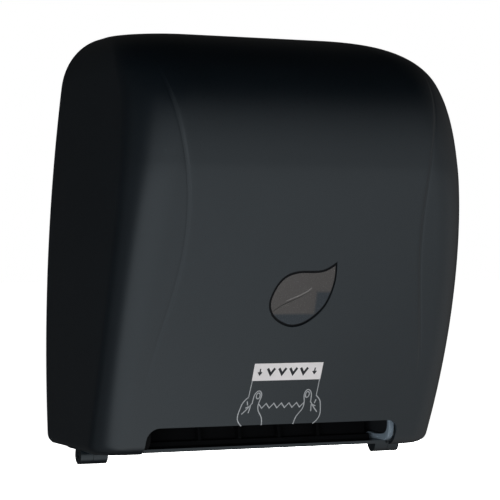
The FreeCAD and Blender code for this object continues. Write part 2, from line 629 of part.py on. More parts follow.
def core_hub():
    """Plug that centres the roll's core, with a crossed web inside and a stub that turns in the arm."""
    face = ARM_INNER - 0.4
    flange_inner = face - HUB_FLANGE_WALL
    clip_face = ARM_INNER + ARM_WALL + ARM_RIB + 0.3
    groove_end = clip_face + 1.2
    hub = joined(rod_x(HUB_INNER, HUB_INNER + 3, ROLL_Y, ROLL_Z, CORE_RADIUS - 1.5),
                 rod_x(HUB_INNER + 3, flange_inner, ROLL_Y, ROLL_Z, CORE_RADIUS),
                 rod_x(flange_inner, face, ROLL_Y, ROLL_Z, HUB_FLANGE_RADIUS),
                 rod_x(face, clip_face, ROLL_Y, ROLL_Z, ARM_STUB_RADIUS),
                 rod_x(clip_face, groove_end, ROLL_Y, ROLL_Z, ARM_STUB_RADIUS - 0.8),
                 rod_x(groove_end, groove_end + 1.3, ROLL_Y, ROLL_Z, ARM_STUB_RADIUS - 0.3))
    hollow = rod_x(HUB_INNER - 1, flange_inner, ROLL_Y, ROLL_Z, CORE_RADIUS - 6.5)
    hub = hub.cut(hollow)
    web_reach = CORE_RADIUS - 4
    webs = [box(HUB_INNER + 2, flange_inner + 1, ROLL_Y - y, ROLL_Y + y, ROLL_Z - z, ROLL_Z + z)
            for y, z in ((1, web_reach), (web_reach, 1))]
    return hub.fuse(webs).removeSplitter()


# ---------------------------------------------------------------- cutting module, fixed pieces
CHEEK_PROFILE = [(-PLATE_WALL, TRAY_FLOOR + TRAY_WALL), (-127, TRAY_FLOOR + TRAY_WALL), (-139, 22),
                 (-147, 62), (-148, 92), (-129, MODULE_TOP), (-70, MODULE_TOP), (-62, SHOULDER_TOP),
                 (-PLATE_WALL, SHOULDER_TOP)]
HOOD_PATH = [(-64, MODULE_TOP), (-127, MODULE_TOP), (-145.5, 91), (-144.5, 62), (-138, 28)]
HOOD_WINDOW_HALF_WIDTH = 98.0
HOOD_WINDOW_LEVELS = (DRUM_Z - 18.0, MODULE_TOP - 22.0)
COMB_HALF_LENGTH = 113.0


def cheeks():
    outer_face = CHEEK_INNER + CHEEK_WALL
    cheek = prism_x(CHEEK_PROFILE, 5.0, CHEEK_INNER, outer_face)
    for z in CHEEK_FOOT_LEVELS:
        foot = prism_y([(CHEEK_INNER, z - 10), (CHEEK_INNER, z + 10), (outer_face + 15, z + 10),
                        (outer_face + 15, z - 10)], 2.0, -PLATE_WALL - CHEEK_WALL, -PLATE_WALL)
        cheek = cheek.fuse(foot).cut(rod_y(CHEEK_FOOT_MIDDLE, -20, 5, z, SCREW_HOLE))
    window_cut = prism_x([(-50, 20), (-50, 78), (-14, 100), (-14, 20)], 6.0, CHEEK_INNER - 1, outer_face + 1)
    bush_hole = rod_x(CHEEK_INNER - 1, outer_face + 1, DRUM_Y, DRUM_Z, JOURNAL_RADIUS + BUSH_WALL)
    pin_hole = rod_x(CHEEK_INNER - 1, outer_face + 1, FRAME_PIVOT_Y, FRAME_PIVOT_Z, FRAME_PIN_RADIUS)
    right = cheek.cut([bush_hole, pin_hole, window_cut]).removeSplitter()
    left = cheek.cut([bush_hole, pin_hole]).removeSplitter()
    add("right_cheek", right)
    add("left_cheek", mirrored(left))


def bottom_tray():
    top = TRAY_FLOOR + TRAY_WALL
    front = -case_depth(0.0) + LIP_RADIUS
    lip_half = NOTCH_HALF_WIDTH - 0.8
    right_edge = [(lip_half, front), (lip_half, -112), (EAR_OUTER - 1, -110), (EAR_OUTER - 1, -PLATE_WALL)]
    left_edge = [(-x, y) for x, y in right_edge[::-1]]
    plate = prism_z(left_edge + right_edge, 2.0, TRAY_FLOOR, top)
    ears = []
    for place in (mirrored, lambda shape: shape):
        barrel = rod_x(EAR_INNER, EAR_OUTER, HINGE_Y, HINGE_Z, HINGE_RADIUS)
        web = prism_x([(HINGE_Y - HINGE_RADIUS, HINGE_Z), (HINGE_Y - HINGE_RADIUS - 10, TRAY_FLOOR + 1),
                       (HINGE_Y + HINGE_RADIUS + 14, TRAY_FLOOR + 1), (HINGE_Y + HINGE_RADIUS, HINGE_Z)], 0.5,
                      EAR_INNER, EAR_OUTER - 1)
        ears.append(place(barrel.fuse(web)))
    holes = [place(rod_x(EAR_INNER + 2, EAR_OUTER + 5, HINGE_Y, HINGE_Z, HINGE_PIN_RADIUS))
             for place in (mirrored, lambda shape: shape)]
    ribs = [box(x - 1, x + 1, -100, -20, top, top + 4) for x in (-80, -40, 40, 80)]
    add("bottom_tray", plate.fuse(ears + ribs).cut(holes).removeSplitter())
    pin = rod_x(EAR_INNER + 2, KNUCKLE_OUTER - 2.3, HINGE_Y, HINGE_Z, HINGE_PIN_RADIUS)
    add("hinge_pins", mirrored(pin), pin)


def outlet_guides():
    """Upright ends of the outlet, each with a long low foot on the tray."""
    top = TRAY_FLOOR + TRAY_WALL
    outline = [(-86, top), (-86, 11), (-118, 12), (-126, 16), (-128, 26), (-138, 26), (-140, 20), (-130, top)]
    guide = prism_x(outline, 3.0, CHEEK_INNER - 6.5, CHEEK_INNER)
    add("outlet_guide_left", mirrored(guide))
    add("outlet_guide_right", guide)


def module_hood():
    """Dark sheet over the drum, with a wide window in front and a raised shoulder at each end."""
    sheet = prism_x(strip(HOOD_PATH, -HOOD_WALL), 1.0, -CHEEK_INNER, CHEEK_INNER)
    low, high = HOOD_WINDOW_LEVELS
    half = HOOD_WINDOW_HALF_WIDTH
    opening = prism_y([(-half, low), (-half, high), (half, high), (half, low)], 8.0,
                      -CASE_DEPTH, DRUM_Y - SHELL_RADIUS - 7)
    shoulders = [box(105, CHEEK_INNER, -72, -PLATE_WALL, MODULE_TOP - HOOD_WALL, SHOULDER_TOP)]
    shoulders.append(mirrored(shoulders[0]))
    ribs = [box(x - 1, x + 1, -120, -70, MODULE_TOP - 0.5, MODULE_TOP + 1.5) for x in (-84, -42, 0, 42, 84)]
    add("module_hood", sheet.cut(opening).fuse(shoulders + ribs).removeSplitter())


def band_places():
    return [(i - (BAND_COUNT - 1) / 2) * BAND_PITCH for i in range(BAND_COUNT)]


def groove_places():
    return [(i - (BAND_COUNT - 2) / 2) * BAND_PITCH for i in range(BAND_COUNT - 1)]


def stripper_comb():
    """Bar on the tray with a finger in each groove of the drum."""
    top = TRAY_FLOOR + TRAY_WALL
    front, rear = DRUM_Y - 18, DRUM_Y - 8
    bar = prism_x([(front, top), (front, top + 5), (rear, top + 5), (rear, top)], 1.0,
                  -COMB_HALF_LENGTH, COMB_HALF_LENGTH)
    tip_radius = SHELL_RADIUS - GROOVE_DEPTH + 0.9
    reach = [(y, DRUM_Z - sqrt(tip_radius ** 2 - (y - DRUM_Y) ** 2)) for y in (DRUM_Y - 5.5, DRUM_Y - 12)]
    finger = [(front + 1, top + 4), (rear - 1, top + 4)] + reach
    fingers = [prism_x(finger, 0.5, x - 1.5, x + 1.5) for x in groove_places()]
    add("stripper_comb", bar.fuse(fingers).removeSplitter())


def bushes():
    outer_face = CHEEK_INNER + CHEEK_WALL
    body = rod_x(CHEEK_INNER, outer_face + BUSH_FLANGE, DRUM_Y, DRUM_Z, JOURNAL_RADIUS + BUSH_WALL)
    flange = rod_x(outer_face, outer_face + BUSH_FLANGE, DRUM_Y, DRUM_Z, JOURNAL_RADIUS + BUSH_WALL + 3)
    bush = joined(body, flange).cut(rod_x(0, 200, DRUM_Y, DRUM_Z, JOURNAL_RADIUS + RUNNING_GAP))
    add("drum_bush_left", mirrored(bush))
    add("drum_bush_right", bush)


# ---------------------------------------------------------------- drum
def heading(angle):
    """Unit vector at an angle in the side view: 0 is forward, 90 is up."""
    return Vector(0, -cos(radians(angle)), sin(radians(angle)))


SLIT_OUT = heading(SLIT_ANGLE)
SLIT_ACROSS = heading(SLIT_ANGLE + 90)


def drum_point(u, v, x=0.0):
    return Vector(x, DRUM_Y, DRUM_Z) + SLIT_OUT * u + SLIT_ACROSS * v


def drum_prism(corners, x0, x1, radius=0.0):
    """Plate whose outline is given in the drum's own axes."""
    return prism([drum_point(u, v, x0) for u, v in corners], radius, Vector(x1 - x0, 0, 0))


def drum_rod(x0, x1, u, v, radius):
    middle = drum_point(u, v)
    return rod_x(x0, x1, middle.y, middle.z, radius)


def drum_shells():
    length = DRUM_HALF_LENGTH
    tube = rod_x(-length, length, DRUM_Y, DRUM_Z, SHELL_RADIUS)
    tube = tube.cut(rod_x(-length, length, DRUM_Y, DRUM_Z, SHELL_RADIUS - SHELL_WALL))
    for x in groove_places():
        ring = rod_x(x - GROOVE_WIDTH / 2, x + GROOVE_WIDTH / 2, DRUM_Y, DRUM_Z, SHELL_RADIUS + 1)
        floor = rod_x(x - GROOVE_WIDTH, x + GROOVE_WIDTH, DRUM_Y, DRUM_Z, SHELL_RADIUS - GROOVE_DEPTH)
        tube = tube.cut(ring.cut(floor))
    slit_half = BLADE_HALF_LENGTH + 1.5
    past = 2 * SHELL_RADIUS
    slit = drum_prism([(15, -SLIT_BELOW), (past, -SLIT_BELOW), (past, SLIT_ABOVE), (15, SLIT_ABOVE)],
                      -slit_half, slit_half)
    front_half = drum_prism([(0.1, -past), (past, -past), (past, past), (0.1, past)], -length - 1, length + 1)
    rear_half = drum_prism([(-0.1, -past), (-past, -past), (-past, past), (-0.1, past)],
                           -length - 1, length + 1)
    holes = drum_screw_holes()
    add("drum_shell_front", tube.common(front_half).cut([slit] + holes).removeSplitter())
    add("drum_shell_rear", tube.common(rear_half).cut(holes).removeSplitter())
    add("drum_screws", *[screw(seat, out * -1, 1.7, 0.8, 0.9, 4.5) for seat, out in drum_screw_seats()])
    bands = []
    low, high = -SLIT_BELOW - 1.5, SLIT_ABOVE + 1.5
    band_gap = drum_prism([(15, low), (past, low), (past, high), (15, high)], -length, length)
    for x in band_places():
        band = rod_x(x - BAND_WIDTH / 2, x + BAND_WIDTH / 2, DRUM_Y, DRUM_Z, SHELL_RADIUS + BAND_WALL)
        bore = rod_x(x - BAND_WIDTH, x + BAND_WIDTH, DRUM_Y, DRUM_Z, SHELL_RADIUS)
        bands.append(band.cut([bore, band_gap]))
    add("grip_bands", *bands)


JOURNAL_END = {"left": CHEEK_INNER + 9.0, "right": CHEEK_INNER + 16.0}


def drum_ends():
    length = DRUM_HALF_LENGTH
    spigot_start = length - SPIGOT_LENGTH
    shaft_hole_radius = KNIFE_SHAFT_RADIUS + RUNNING_GAP
    for word in ("left", "right"):
        disc = rod_x(length, length + DRUM_END_WALL, DRUM_Y, DRUM_Z, SHELL_RADIUS)
        spigot = rod_x(spigot_start, length, DRUM_Y, DRUM_Z, SHELL_RADIUS - SHELL_WALL - RUNNING_GAP)
        spigot = spigot.cut(rod_x(spigot_start - 1, length, DRUM_Y, DRUM_Z, SHELL_RADIUS - 2 * SHELL_WALL))
        spigot = spigot.cut(drum_rod(spigot_start - 1, length, KNIFE_PIVOT_U, KNIFE_PIVOT_V,
                                     KNIFE_BOSS_RADIUS + 1.5))
        low, past = -SLIT_BELOW - 12, 2 * SHELL_RADIUS
        spigot = spigot.cut(drum_prism([(12, low), (past, low), (past, 14), (12, 14)],
                                       spigot_start - 1, length))
        journal = rod_x(length, JOURNAL_END[word], DRUM_Y, DRUM_Z, JOURNAL_RADIUS)
        shoulder = rod_x(length, CHEEK_INNER - 8.5, DRUM_Y, DRUM_Z, JOURNAL_RADIUS + 2)
        end = disc.fuse([spigot, journal, shoulder])
        if word == "left":
            end = mirrored(end)
            end = end.cut(drum_rod(-length - 5, -length + 5, KNIFE_PIVOT_U, KNIFE_PIVOT_V, shaft_hole_radius))
        else:
            end = end.cut(drum_rod(length - 5, length + 2, KNIFE_PIVOT_U, KNIFE_PIVOT_V, shaft_hole_radius))
        add("drum_end_" + word, end.cut(drum_screw_holes()).removeSplitter())


def crank_and_spring():
    """Crank on the drum's left journal, its extension spring and the cover over both."""
    bush_face = CHEEK_INNER + CHEEK_WALL + BUSH_FLANGE
    disc = rod_x(bush_face + 0.5, bush_face + 3.5, DRUM_Y, DRUM_Z, 20.0)
    pin_place = Vector(0, DRUM_Y, DRUM_Z) + heading(200) * 15.0
    pin = rod_x(bush_face + 3.5, bush_face + 10.5, pin_place.y, pin_place.z, 2.5)
    flat_hole = rod_x(bush_face, bush_face + 12, DRUM_Y, DRUM_Z, JOURNAL_RADIUS)
    add("crank", mirrored(joined(disc, pin).cut(flat_hole)))
    post_y, post_z = -32.0, 50.0
    post = rod_x(CHEEK_INNER + CHEEK_WALL, bush_face + 10.5, post_y, post_z, 2.5)
    foot = rod_x(CHEEK_INNER + CHEEK_WALL, CHEEK_INNER + CHEEK_WALL + 2, post_y, post_z, 5.0)
    add("spring_post", mirrored(joined(post, foot)))
    middle_x = bush_face + 7.0
    start = Vector(middle_x, pin_place.y, pin_place.z)
    end = Vector(middle_x, post_y, post_z)
    along = (end - start).normalize()
    wire = 0.6
    loop_radius = 2.5 + wire + 0.1
    span = (end - start).Length
    body_turns = 14
    body_length = 2 * wire * body_turns
    body_start = (span - body_length) / 2
    body = wound_spring(3.6, wire, body_turns)
    turn = FreeCAD.Rotation(Vector(0, 0, 1), along)
    body.Placement = FreeCAD.Placement(start + along * body_start, turn)
    hooks = []
    for place, towards in ((start, along), (end, along * -1)):
        eye = wire_eye(loop_radius, wire)
        eye.Placement = FreeCAD.Placement(place, FreeCAD.Rotation(Vector(0, 0, 1), Vector(1, 0, 0)))
        hooks.append(eye)
        hooks.append(polygon_rod(place + towards * loop_radius, towards, wire, body_start - loop_radius, 8))
    add("crank_spring", *[mirrored(piece) for piece in [body] + hooks])
    outline = [(-122, 34), (-122, 90), (-66, 90), (-22, 66), (-22, 34)]
    low, high = CHEEK_INNER + CHEEK_WALL, bush_face + 13.5
    cup = prism_x(outline, 14.0, low, high)
    inner = [(-120, 36), (-120, 88), (-66.5, 88), (-24, 64.8), (-24, 36)]
    cup = cup.cut(prism_x(inner, 12.0, low - 1, high - 2))
    add("spring_cover", mirrored(cup))


def feed_wheel():
    face = CHEEK_INNER + CHEEK_WALL + BUSH_FLANGE + 0.5
    radius, flute, flutes = 27.0, 4.0, 10
    wheel = rod_x(face, face + 9, DRUM_Y, DRUM_Z, radius)
    cuts = []
    for i in range(flutes):
        place = Vector(0, DRUM_Y, DRUM_Z) + heading(i * 360 / flutes) * (radius + 1.2)
        cuts.append(rod_x(face - 1, face + 10, place.y, place.z, flute))
    dish = rod_x(face + 3, face + 10, DRUM_Y, DRUM_Z, radius - 6)
    dish = dish.cut(rod_x(face, face + 12, DRUM_Y, DRUM_Z, 12))
    wheel = wheel.cut(cuts + [dish, rod_x(face - 1, face + 12, DRUM_Y, DRUM_Z, JOURNAL_RADIUS)])
    add("feed_wheel", wheel)
    left, right = [rod_x(JOURNAL_END[word], JOURNAL_END[word] + 2.0, DRUM_Y, DRUM_Z, 10.0)
                   for word in ("left", "right")]
    add("shaft_caps", mirrored(left), right)


def drum_screw_seats():
    """Seat and outward direction of each radial screw through the shells into the ends' spigots."""
    seats = []
    for side in (-1, 1):
        for angle in DRUM_SCREW_ANGLES:
            out = heading(SLIT_ANGLE + angle)
            x = side * (DRUM_HALF_LENGTH - SPIGOT_LENGTH / 2)
            seats.append((Vector(x, DRUM_Y, DRUM_Z) + out * (SHELL_RADIUS - 0.9), out))
    return seats


def drum_screw_holes():
    holes = []
    for seat, out in drum_screw_seats():
        holes.append(Part.makeCylinder(1.9, 3, seat, out))
        holes.append(Part.makeCylinder(1.0, 6, seat - out * 5.5, out))
    return holes


# ---------------------------------------------------------------- knife
def blade_frame():
    """Base point and unit vectors along the blade and across it, at rest, in drum axes."""
    lean = radians(KNIFE_SWING)
    along = (cos(lean), sin(lean))
    across = (-sin(lean), cos(lean))
    base = (BLADE_TIP_U - BLADE_WIDTH * along[0], BLADE_TIP_V - BLADE_WIDTH * along[1])
    return base, along, across


def blade_point(s, n, x=0.0):
    base, along, across = blade_frame()
    return drum_point(base[0] + s * along[0] + n * across[0], base[1] + s * along[1] + n * across[1], x)


def knife():
    half = BLADE_HALF_LENGTH
    teeth = int(2 * half / TOOTH_PITCH)
    edge = [(-half, 0.0), (-half, BLADE_WIDTH - TOOTH_DEPTH)]
    for i in range(teeth):
        start = -half + i * TOOTH_PITCH
        edge.append((start + TOOTH_PITCH / 2, BLADE_WIDTH))
        edge.append((start + TOOTH_PITCH, BLADE_WIDTH - TOOTH_DEPTH))
    edge.append((half, 0.0))
    loop = [blade_point(s, 0, x) for x, s in edge]
    across = blade_point(0, 1) - blade_point(0, 0)
    blade = Part.Face(Part.makePolygon(loop + loop[:1])).extrude(across * BLADE_WALL)
    screw_places = [-84, -28, 28, 84]
    for x in screw_places:
        blade = blade.cut(Part.makeCylinder(1.1, 6, blade_point(3.5, -2, x), across))
    add("knife_blade", blade)
    bar = [(7, 0), (7, -3), (-1, -4.5), (-6.5, -13), (-11, -9), (-4, 0)]
    body = prism([blade_point(s, n, -half) for s, n in bar], 0.0, Vector(2 * half, 0, 0))
    shaft = drum_rod(-DRUM_HALF_LENGTH - DRUM_END_WALL - 6, DRUM_HALF_LENGTH + 1.7,
                     KNIFE_PIVOT_U, KNIFE_PIVOT_V, KNIFE_SHAFT_RADIUS)
    body = body.fuse([drum_rod(-half, half, KNIFE_PIVOT_U, KNIFE_PIVOT_V, KNIFE_BOSS_RADIUS), shaft])
    for x in screw_places:
        body = body.cut(Part.makeCylinder(0.9, 3.6, blade_point(3.5, -3.5, x), across))
    add("knife_carrier", body.removeSplitter())
    screws = [screw(blade_point(3.5, BLADE_WALL, x), across * -1, 2.0, 0.9, 0.9, BLADE_WALL + 2.2)
              for x in screw_places]
    add("blade_screws", *screws)
    arm_inner = DRUM_HALF_LENGTH + DRUM_END_WALL + 3.0
    arm_outer = arm_inner + KNIFE_ARM_WALL
    ends = [drum_rod(-arm_outer, -arm_inner, KNIFE_PIVOT_U, KNIFE_PIVOT_V, 5.0),
            drum_rod(-arm_outer, -arm_inner, FOLLOWER_U, FOLLOWER_V, 3.6)]
    link_outline = [(KNIFE_PIVOT_U + 4.6, KNIFE_PIVOT_V), (KNIFE_PIVOT_U - 4.6, KNIFE_PIVOT_V),
                    (FOLLOWER_U - 3.2, FOLLOWER_V), (FOLLOWER_U + 3.2, FOLLOWER_V)]
    link = drum_prism(link_outline, -arm_outer, -arm_inner)
    peg = drum_rod(-cam_face() + 0.4, -arm_outer, FOLLOWER_U, FOLLOWER_V, FOLLOWER_RADIUS)
    arm = joined(ends[0], ends[1], link, peg)
    shaft_hole = drum_rod(-arm_outer - 1, -arm_inner + 1, KNIFE_PIVOT_U, KNIFE_PIVOT_V, KNIFE_SHAFT_RADIUS)
    add("knife_arm", arm.cut(shaft_hole))


def cam_face():
    """Distance of the cam's face from the middle of the drum."""
    return CHEEK_INNER - 7.0


def knife_cam():
    """Fixed plate with the closed track that swings the knife out once in each turn."""
    rest = sqrt(FOLLOWER_U ** 2 + FOLLOWER_V ** 2)
    pivot_u, pivot_v = KNIFE_PIVOT_U, KNIFE_PIVOT_V
    arm_u, arm_v = FOLLOWER_U - pivot_u, FOLLOWER_V - pivot_v
    swing = radians(-KNIFE_SWING)
    out_u = pivot_u + arm_u * cos(swing) - arm_v * sin(swing)
    out_v = pivot_v + arm_u * sin(swing) + arm_v * cos(swing)
    dip = rest - sqrt(out_u ** 2 + out_v ** 2)
    lobe_middle, lobe_half = SLIT_ANGLE - 100, 38.0

    def track(angle, offset):
        away = min(1.0, abs((angle - lobe_middle + 180) % 360 - 180) / lobe_half)
        radius = rest - dip * (1 + cos(pi * away)) / 2 + offset
        return Vector(-cam_face(), DRUM_Y, DRUM_Z) + heading(angle) * radius

    def loop(offset):
        places = [track(lobe_middle + i * 15, offset) for i in range(24)]
        arcs = [Part.Arc(places[i], places[i + 1], places[(i + 2) % 24]).toShape() for i in range(0, 24, 2)]
        return Part.Face(Part.Wire(arcs))

    depth = 5.0
    margin = FOLLOWER_RADIUS + 0.3
    groove = loop(margin).extrude(Vector(-depth, 0, 0)).cut(loop(-margin).extrude(Vector(-depth, 0, 0)))
    plate = rod_x(-CHEEK_INNER, -cam_face(), DRUM_Y, DRUM_Z, rest + margin + 4)
    add("knife_cam", plate.cut([groove, rod_x(-200, 0, DRUM_Y, DRUM_Z, JOURNAL_RADIUS + 1.0)]))


# ---------------------------------------------------------------- pressure roller
def pressure_unit():
    reach = SHELL_RADIUS + BAND_WALL + ROLLER_GAP + ROLLER_RADIUS
    middle = Vector(0, DRUM_Y, DRUM_Z) + heading(ROLLER_ANGLE) * reach
    outer = FRAME_INNER + FRAME_WALL
    bar_y, bar_z = middle.y - 12.5, middle.z + 9.5
    outline = [(FRAME_PIVOT_Y + 5, FRAME_PIVOT_Z - 5), (FRAME_PIVOT_Y + 5, FRAME_PIVOT_Z + 5),
               (middle.y, middle.z + 9), (bar_y - 4, bar_z + 3), (bar_y - 4, bar_z - 4),
               (middle.y - 5, middle.z - 4.5), (middle.y + 5, middle.z - 4.5)]
    arm = prism_x(outline, 3.0, FRAME_INNER, outer)
    inner = FRAME_INNER - 1
    arm = arm.cut([rod_x(inner, outer + 1, FRAME_PIVOT_Y, FRAME_PIVOT_Z, FRAME_PIN_RADIUS + RUNNING_GAP),
                   rod_x(inner, outer + 1, middle.y, middle.z, ROLLER_SHAFT_RADIUS + RUNNING_GAP)])
    bar = rod_x(-FRAME_INNER - 1, FRAME_INNER + 1, bar_y, bar_z, 2.5)
    add("pressure_frame", joined(arm, mirrored(arm), bar))
    shaft = rod_x(-outer + 0.3, outer - 0.3, middle.y, middle.z, ROLLER_SHAFT_RADIUS)
    core = rod_x(-ROLLER_CORE_HALF_LENGTH, ROLLER_CORE_HALF_LENGTH, middle.y, middle.z,
                 ROLLER_RADIUS - TYRE_WALL)
    add("pressure_shaft", joined(shaft, core))
    tyres = []
    for x in band_places():
        tyre = rod_x(x - BAND_WIDTH / 2 - 1, x + BAND_WIDTH / 2 + 1, middle.y, middle.z, ROLLER_RADIUS)
        bore = rod_x(x - BAND_WIDTH, x + BAND_WIDTH, middle.y, middle.z, ROLLER_RADIUS - TYRE_WALL)
        tyres.append(tyre.cut(bore))
    add("pressure_tyres", *tyres)
    pin = rod_x(FRAME_INNER - 1.5, CHEEK_INNER + CHEEK_WALL, FRAME_PIVOT_Y, FRAME_PIVOT_Z, FRAME_PIN_RADIUS)
    head = rod_x(CHEEK_INNER + CHEEK_WALL, CHEEK_INNER + CHEEK_WALL + 2, FRAME_PIVOT_Y, FRAME_PIVOT_Z, 5.0)
    pin = joined(pin, head)
    add("pressure_pins", mirrored(pin), pin)
    spring = wound_spring(4.2, 0.6, 4)
    spring.Placement = FreeCAD.Placement(Vector(outer + 1.2, FRAME_PIVOT_Y, FRAME_PIVOT_Z),
                                         FreeCAD.Rotation(Vector(0, 0, 1), Vector(1, 0, 0)))
    leg = polygon_rod(Vector(outer + 1.2, FRAME_PIVOT_Y, FRAME_PIVOT_Z + 4.2), Vector(0, -1, 0), 0.6, 22.0, 8)
    spring = Part.makeCompound([spring, leg])
    add("pressure_spring_left", mirrored(spring))
    add("pressure_spring_right", spring)


for make in (cover_shell, window, lock, back_plate, frame_screws, roll_holder, cheeks, bottom_tray,
             outlet_guides, module_hood, stripper_comb, bushes, drum_shells, drum_ends, crank_and_spring,
             feed_wheel, knife, knife_cam, pressure_unit):
    make()

os.makedirs("parts", exist_ok=True)
for name, shape in parts.items():
    placed = shape.copy()
    placed.translate(Vector(0, 0, -ORIGIN_RISE))
    placed.exportStep("parts/" + name + ".step")
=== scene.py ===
import json
from math import asin, cos, pi, radians, sin
import bmesh
import bpy
import numpy as np
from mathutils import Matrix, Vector


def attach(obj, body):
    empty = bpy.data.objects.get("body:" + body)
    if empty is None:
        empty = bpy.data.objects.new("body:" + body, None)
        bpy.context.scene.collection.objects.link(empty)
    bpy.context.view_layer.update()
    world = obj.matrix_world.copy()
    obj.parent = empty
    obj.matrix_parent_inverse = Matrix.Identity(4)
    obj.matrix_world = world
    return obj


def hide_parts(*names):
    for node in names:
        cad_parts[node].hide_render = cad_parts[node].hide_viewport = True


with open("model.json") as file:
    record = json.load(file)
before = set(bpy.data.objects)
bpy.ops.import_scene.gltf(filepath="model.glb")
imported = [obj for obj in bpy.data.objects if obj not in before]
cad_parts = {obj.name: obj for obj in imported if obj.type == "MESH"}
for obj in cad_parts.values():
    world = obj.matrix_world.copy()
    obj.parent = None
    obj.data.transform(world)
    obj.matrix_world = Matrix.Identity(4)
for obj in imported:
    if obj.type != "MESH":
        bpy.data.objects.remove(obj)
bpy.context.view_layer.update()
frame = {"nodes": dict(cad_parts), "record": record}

MM = 0.001

# ------------------------------------------------------------------ the case's form, in mm
# The values are those of part.py, except where a note says so.
ORIGIN_RISE = 255.0
CASE_HEIGHT = 385.0
CASE_DEPTH = 223.0
CASE_HALF_WIDTH = 170.97    # 171 in the CAD, whose facets reach this far
BELLY_HEIGHT = 256.0
FRONT_TUCK = 85.0
TUCK_POWER = 1.5
DOME_POWER = 2.88
SIDE_BOW_RADIUS = 2000.0
SIDE_BOW_HEIGHT = 90.0
SHOULDER_WIDTH = 45.0
SHOULDER_HEIGHT = 50.0
SHOULDER_POWER = 2.13
EDGE_RADIUS_FOOT = 27.0
EDGE_RADIUS_HEAD = 55.0
EDGE_POWER = 1.5
LIP_RADIUS = 9.0
HEEL_RADIUS = 12.0
COVER_WALL = 3.0
REAR_GAP = 2.0

PANEL_RISE = 1.0
PANEL_FOOT = 50.0
PANEL_HEAD = 362.0          # 340 in the CAD
PANEL_FADE = 60.0           # 70 in the CAD, whose panel keeps 0.12 mm of rise at its two ends
RAMP_HALF_WIDTH = 1.1
GUTTER_WIDTH = 2.6          # shallow gutter along the panel's edge, not in the CAD
GUTTER_DEPTH = 0.22
WAIST_HEIGHT = 205.0
WAIST_HALF_WIDTH = 112.8
WAIST_SWELL = 22.5
SWELL_BELOW = 170.0
SWELL_ABOVE = 190.0

NOTCH_HALF_WIDTH = 125.0
NOTCH_HEIGHT = 24.5
NOTCH_CORNER = 11.0
LOCK_Y = -44.0
LOCK_HOLE_RADIUS = 8.3

HINGE_Y = -71.0
HINGE_Z = -4.0
HINGE_RADIUS = 8.5
HINGE_BORE_RADIUS = 3.05
KNUCKLE_INNER = 151.0
KNUCKLE_OUTER = 163.0
# corners (y, z) of the web from each knuckle to the cover, which is a little smaller than in the CAD
KNUCKLE_WEB = [(HINGE_Y - 8.2, HINGE_Z + 6), (HINGE_Y + 8.2, HINGE_Z + 6),
               (HINGE_Y + HINGE_RADIUS + 8, 16), (HINGE_Y - HINGE_RADIUS - 8, 16)]
KNUCKLE_WEB_CORNER = 1.5
KNUCKLE_WEB_SIDE_GAP = 1.6
REAR_CUT_GAP = 15.0

# steps of the cover's mesh
LIP_ROWS = 8
FRONT_ROWS = 84
DOME_ROWS = 100
DOME_SAMPLES = 6001
PANEL_COLUMNS = 37
RAMP_COLUMNS = 7
GUTTER_COLUMNS = 9
EDGE_COLUMNS = 26
SIDE_COLUMNS = 18
LEAST_EDGE_RADIUS = 0.02

LEAF = [(32.5, 171.5), (22.0, 165.2), (8.0, 163.6), (-6.0, 163.0), (-18.0, 157.8), (-26.2, 146.0),
        (-28.6, 134.0), (-24.8, 124.8), (-16.0, 117.9), (-4.4, 114.3), (8.0, 116.7), (18.0, 123.2),
        (26.2, 132.2), (31.2, 144.0), (33.4, 157.5), (32.5, 171.5)]
LEAF_CUT = ((1.1, -0.5), (0.0, 0.6), (0.0, 12.0))   # (growth, inset) of the opening's rings: a bevelled edge
LENS_GAP = 0.3
LENS_RECESS = 0.7
LENS_FLANGE = 4.0
LENS_FLANGE_WALL = 1.4
LAYER_GAP = 0.15
LENS_RIM = 1.5
LENS_RIM_DROP = 0.55        # of the rim below the pane
RETAINER_WALL = 2.0
STUD_RADIUS = 1.5
STUD_REACH = 6.8
STUD_SHARES = (0.1, 0.3, 0.5, 0.7, 0.9)             # places of the studs along their loop
STUD_ROOT = 1.5
STUD_END = 2.5
ROLL_SIDE = 16.5        # what shows warm grey through the lens ends here on the right
ROLL_FOOT = 125.4       # and here below
ROLL_STEP = 145.0       # above this it shows over the whole width
ROLL_SIDE_BLUR = 1.6
ROLL_FOOT_BLUR = 1.2
ROLL_STEP_BLUR = 1.4
# the leaf's midrib, dark as painted shade, and the glint beside it, a painted highlight: their lines, half
# widths from end to end, and rise
VEIN = [(-25.0, 127.1), (-20.0, 130.9), (-13.5, 134.6), (-4.5, 138.3), (3.0, 141.9), (9.8, 145.8)]
VEIN_HALF_WIDTHS = (0.5, 0.35)
VEIN_RISE = 0.25
GLINT = [(-13.0, 137.0), (-8.5, 138.9), (-3.0, 140.9), (2.5, 143.2), (7.0, 145.6), (10.8, 148.7)]
GLINT_HALF_WIDTHS = (0.45, 0.95)
GLINT_RISE = 0.45

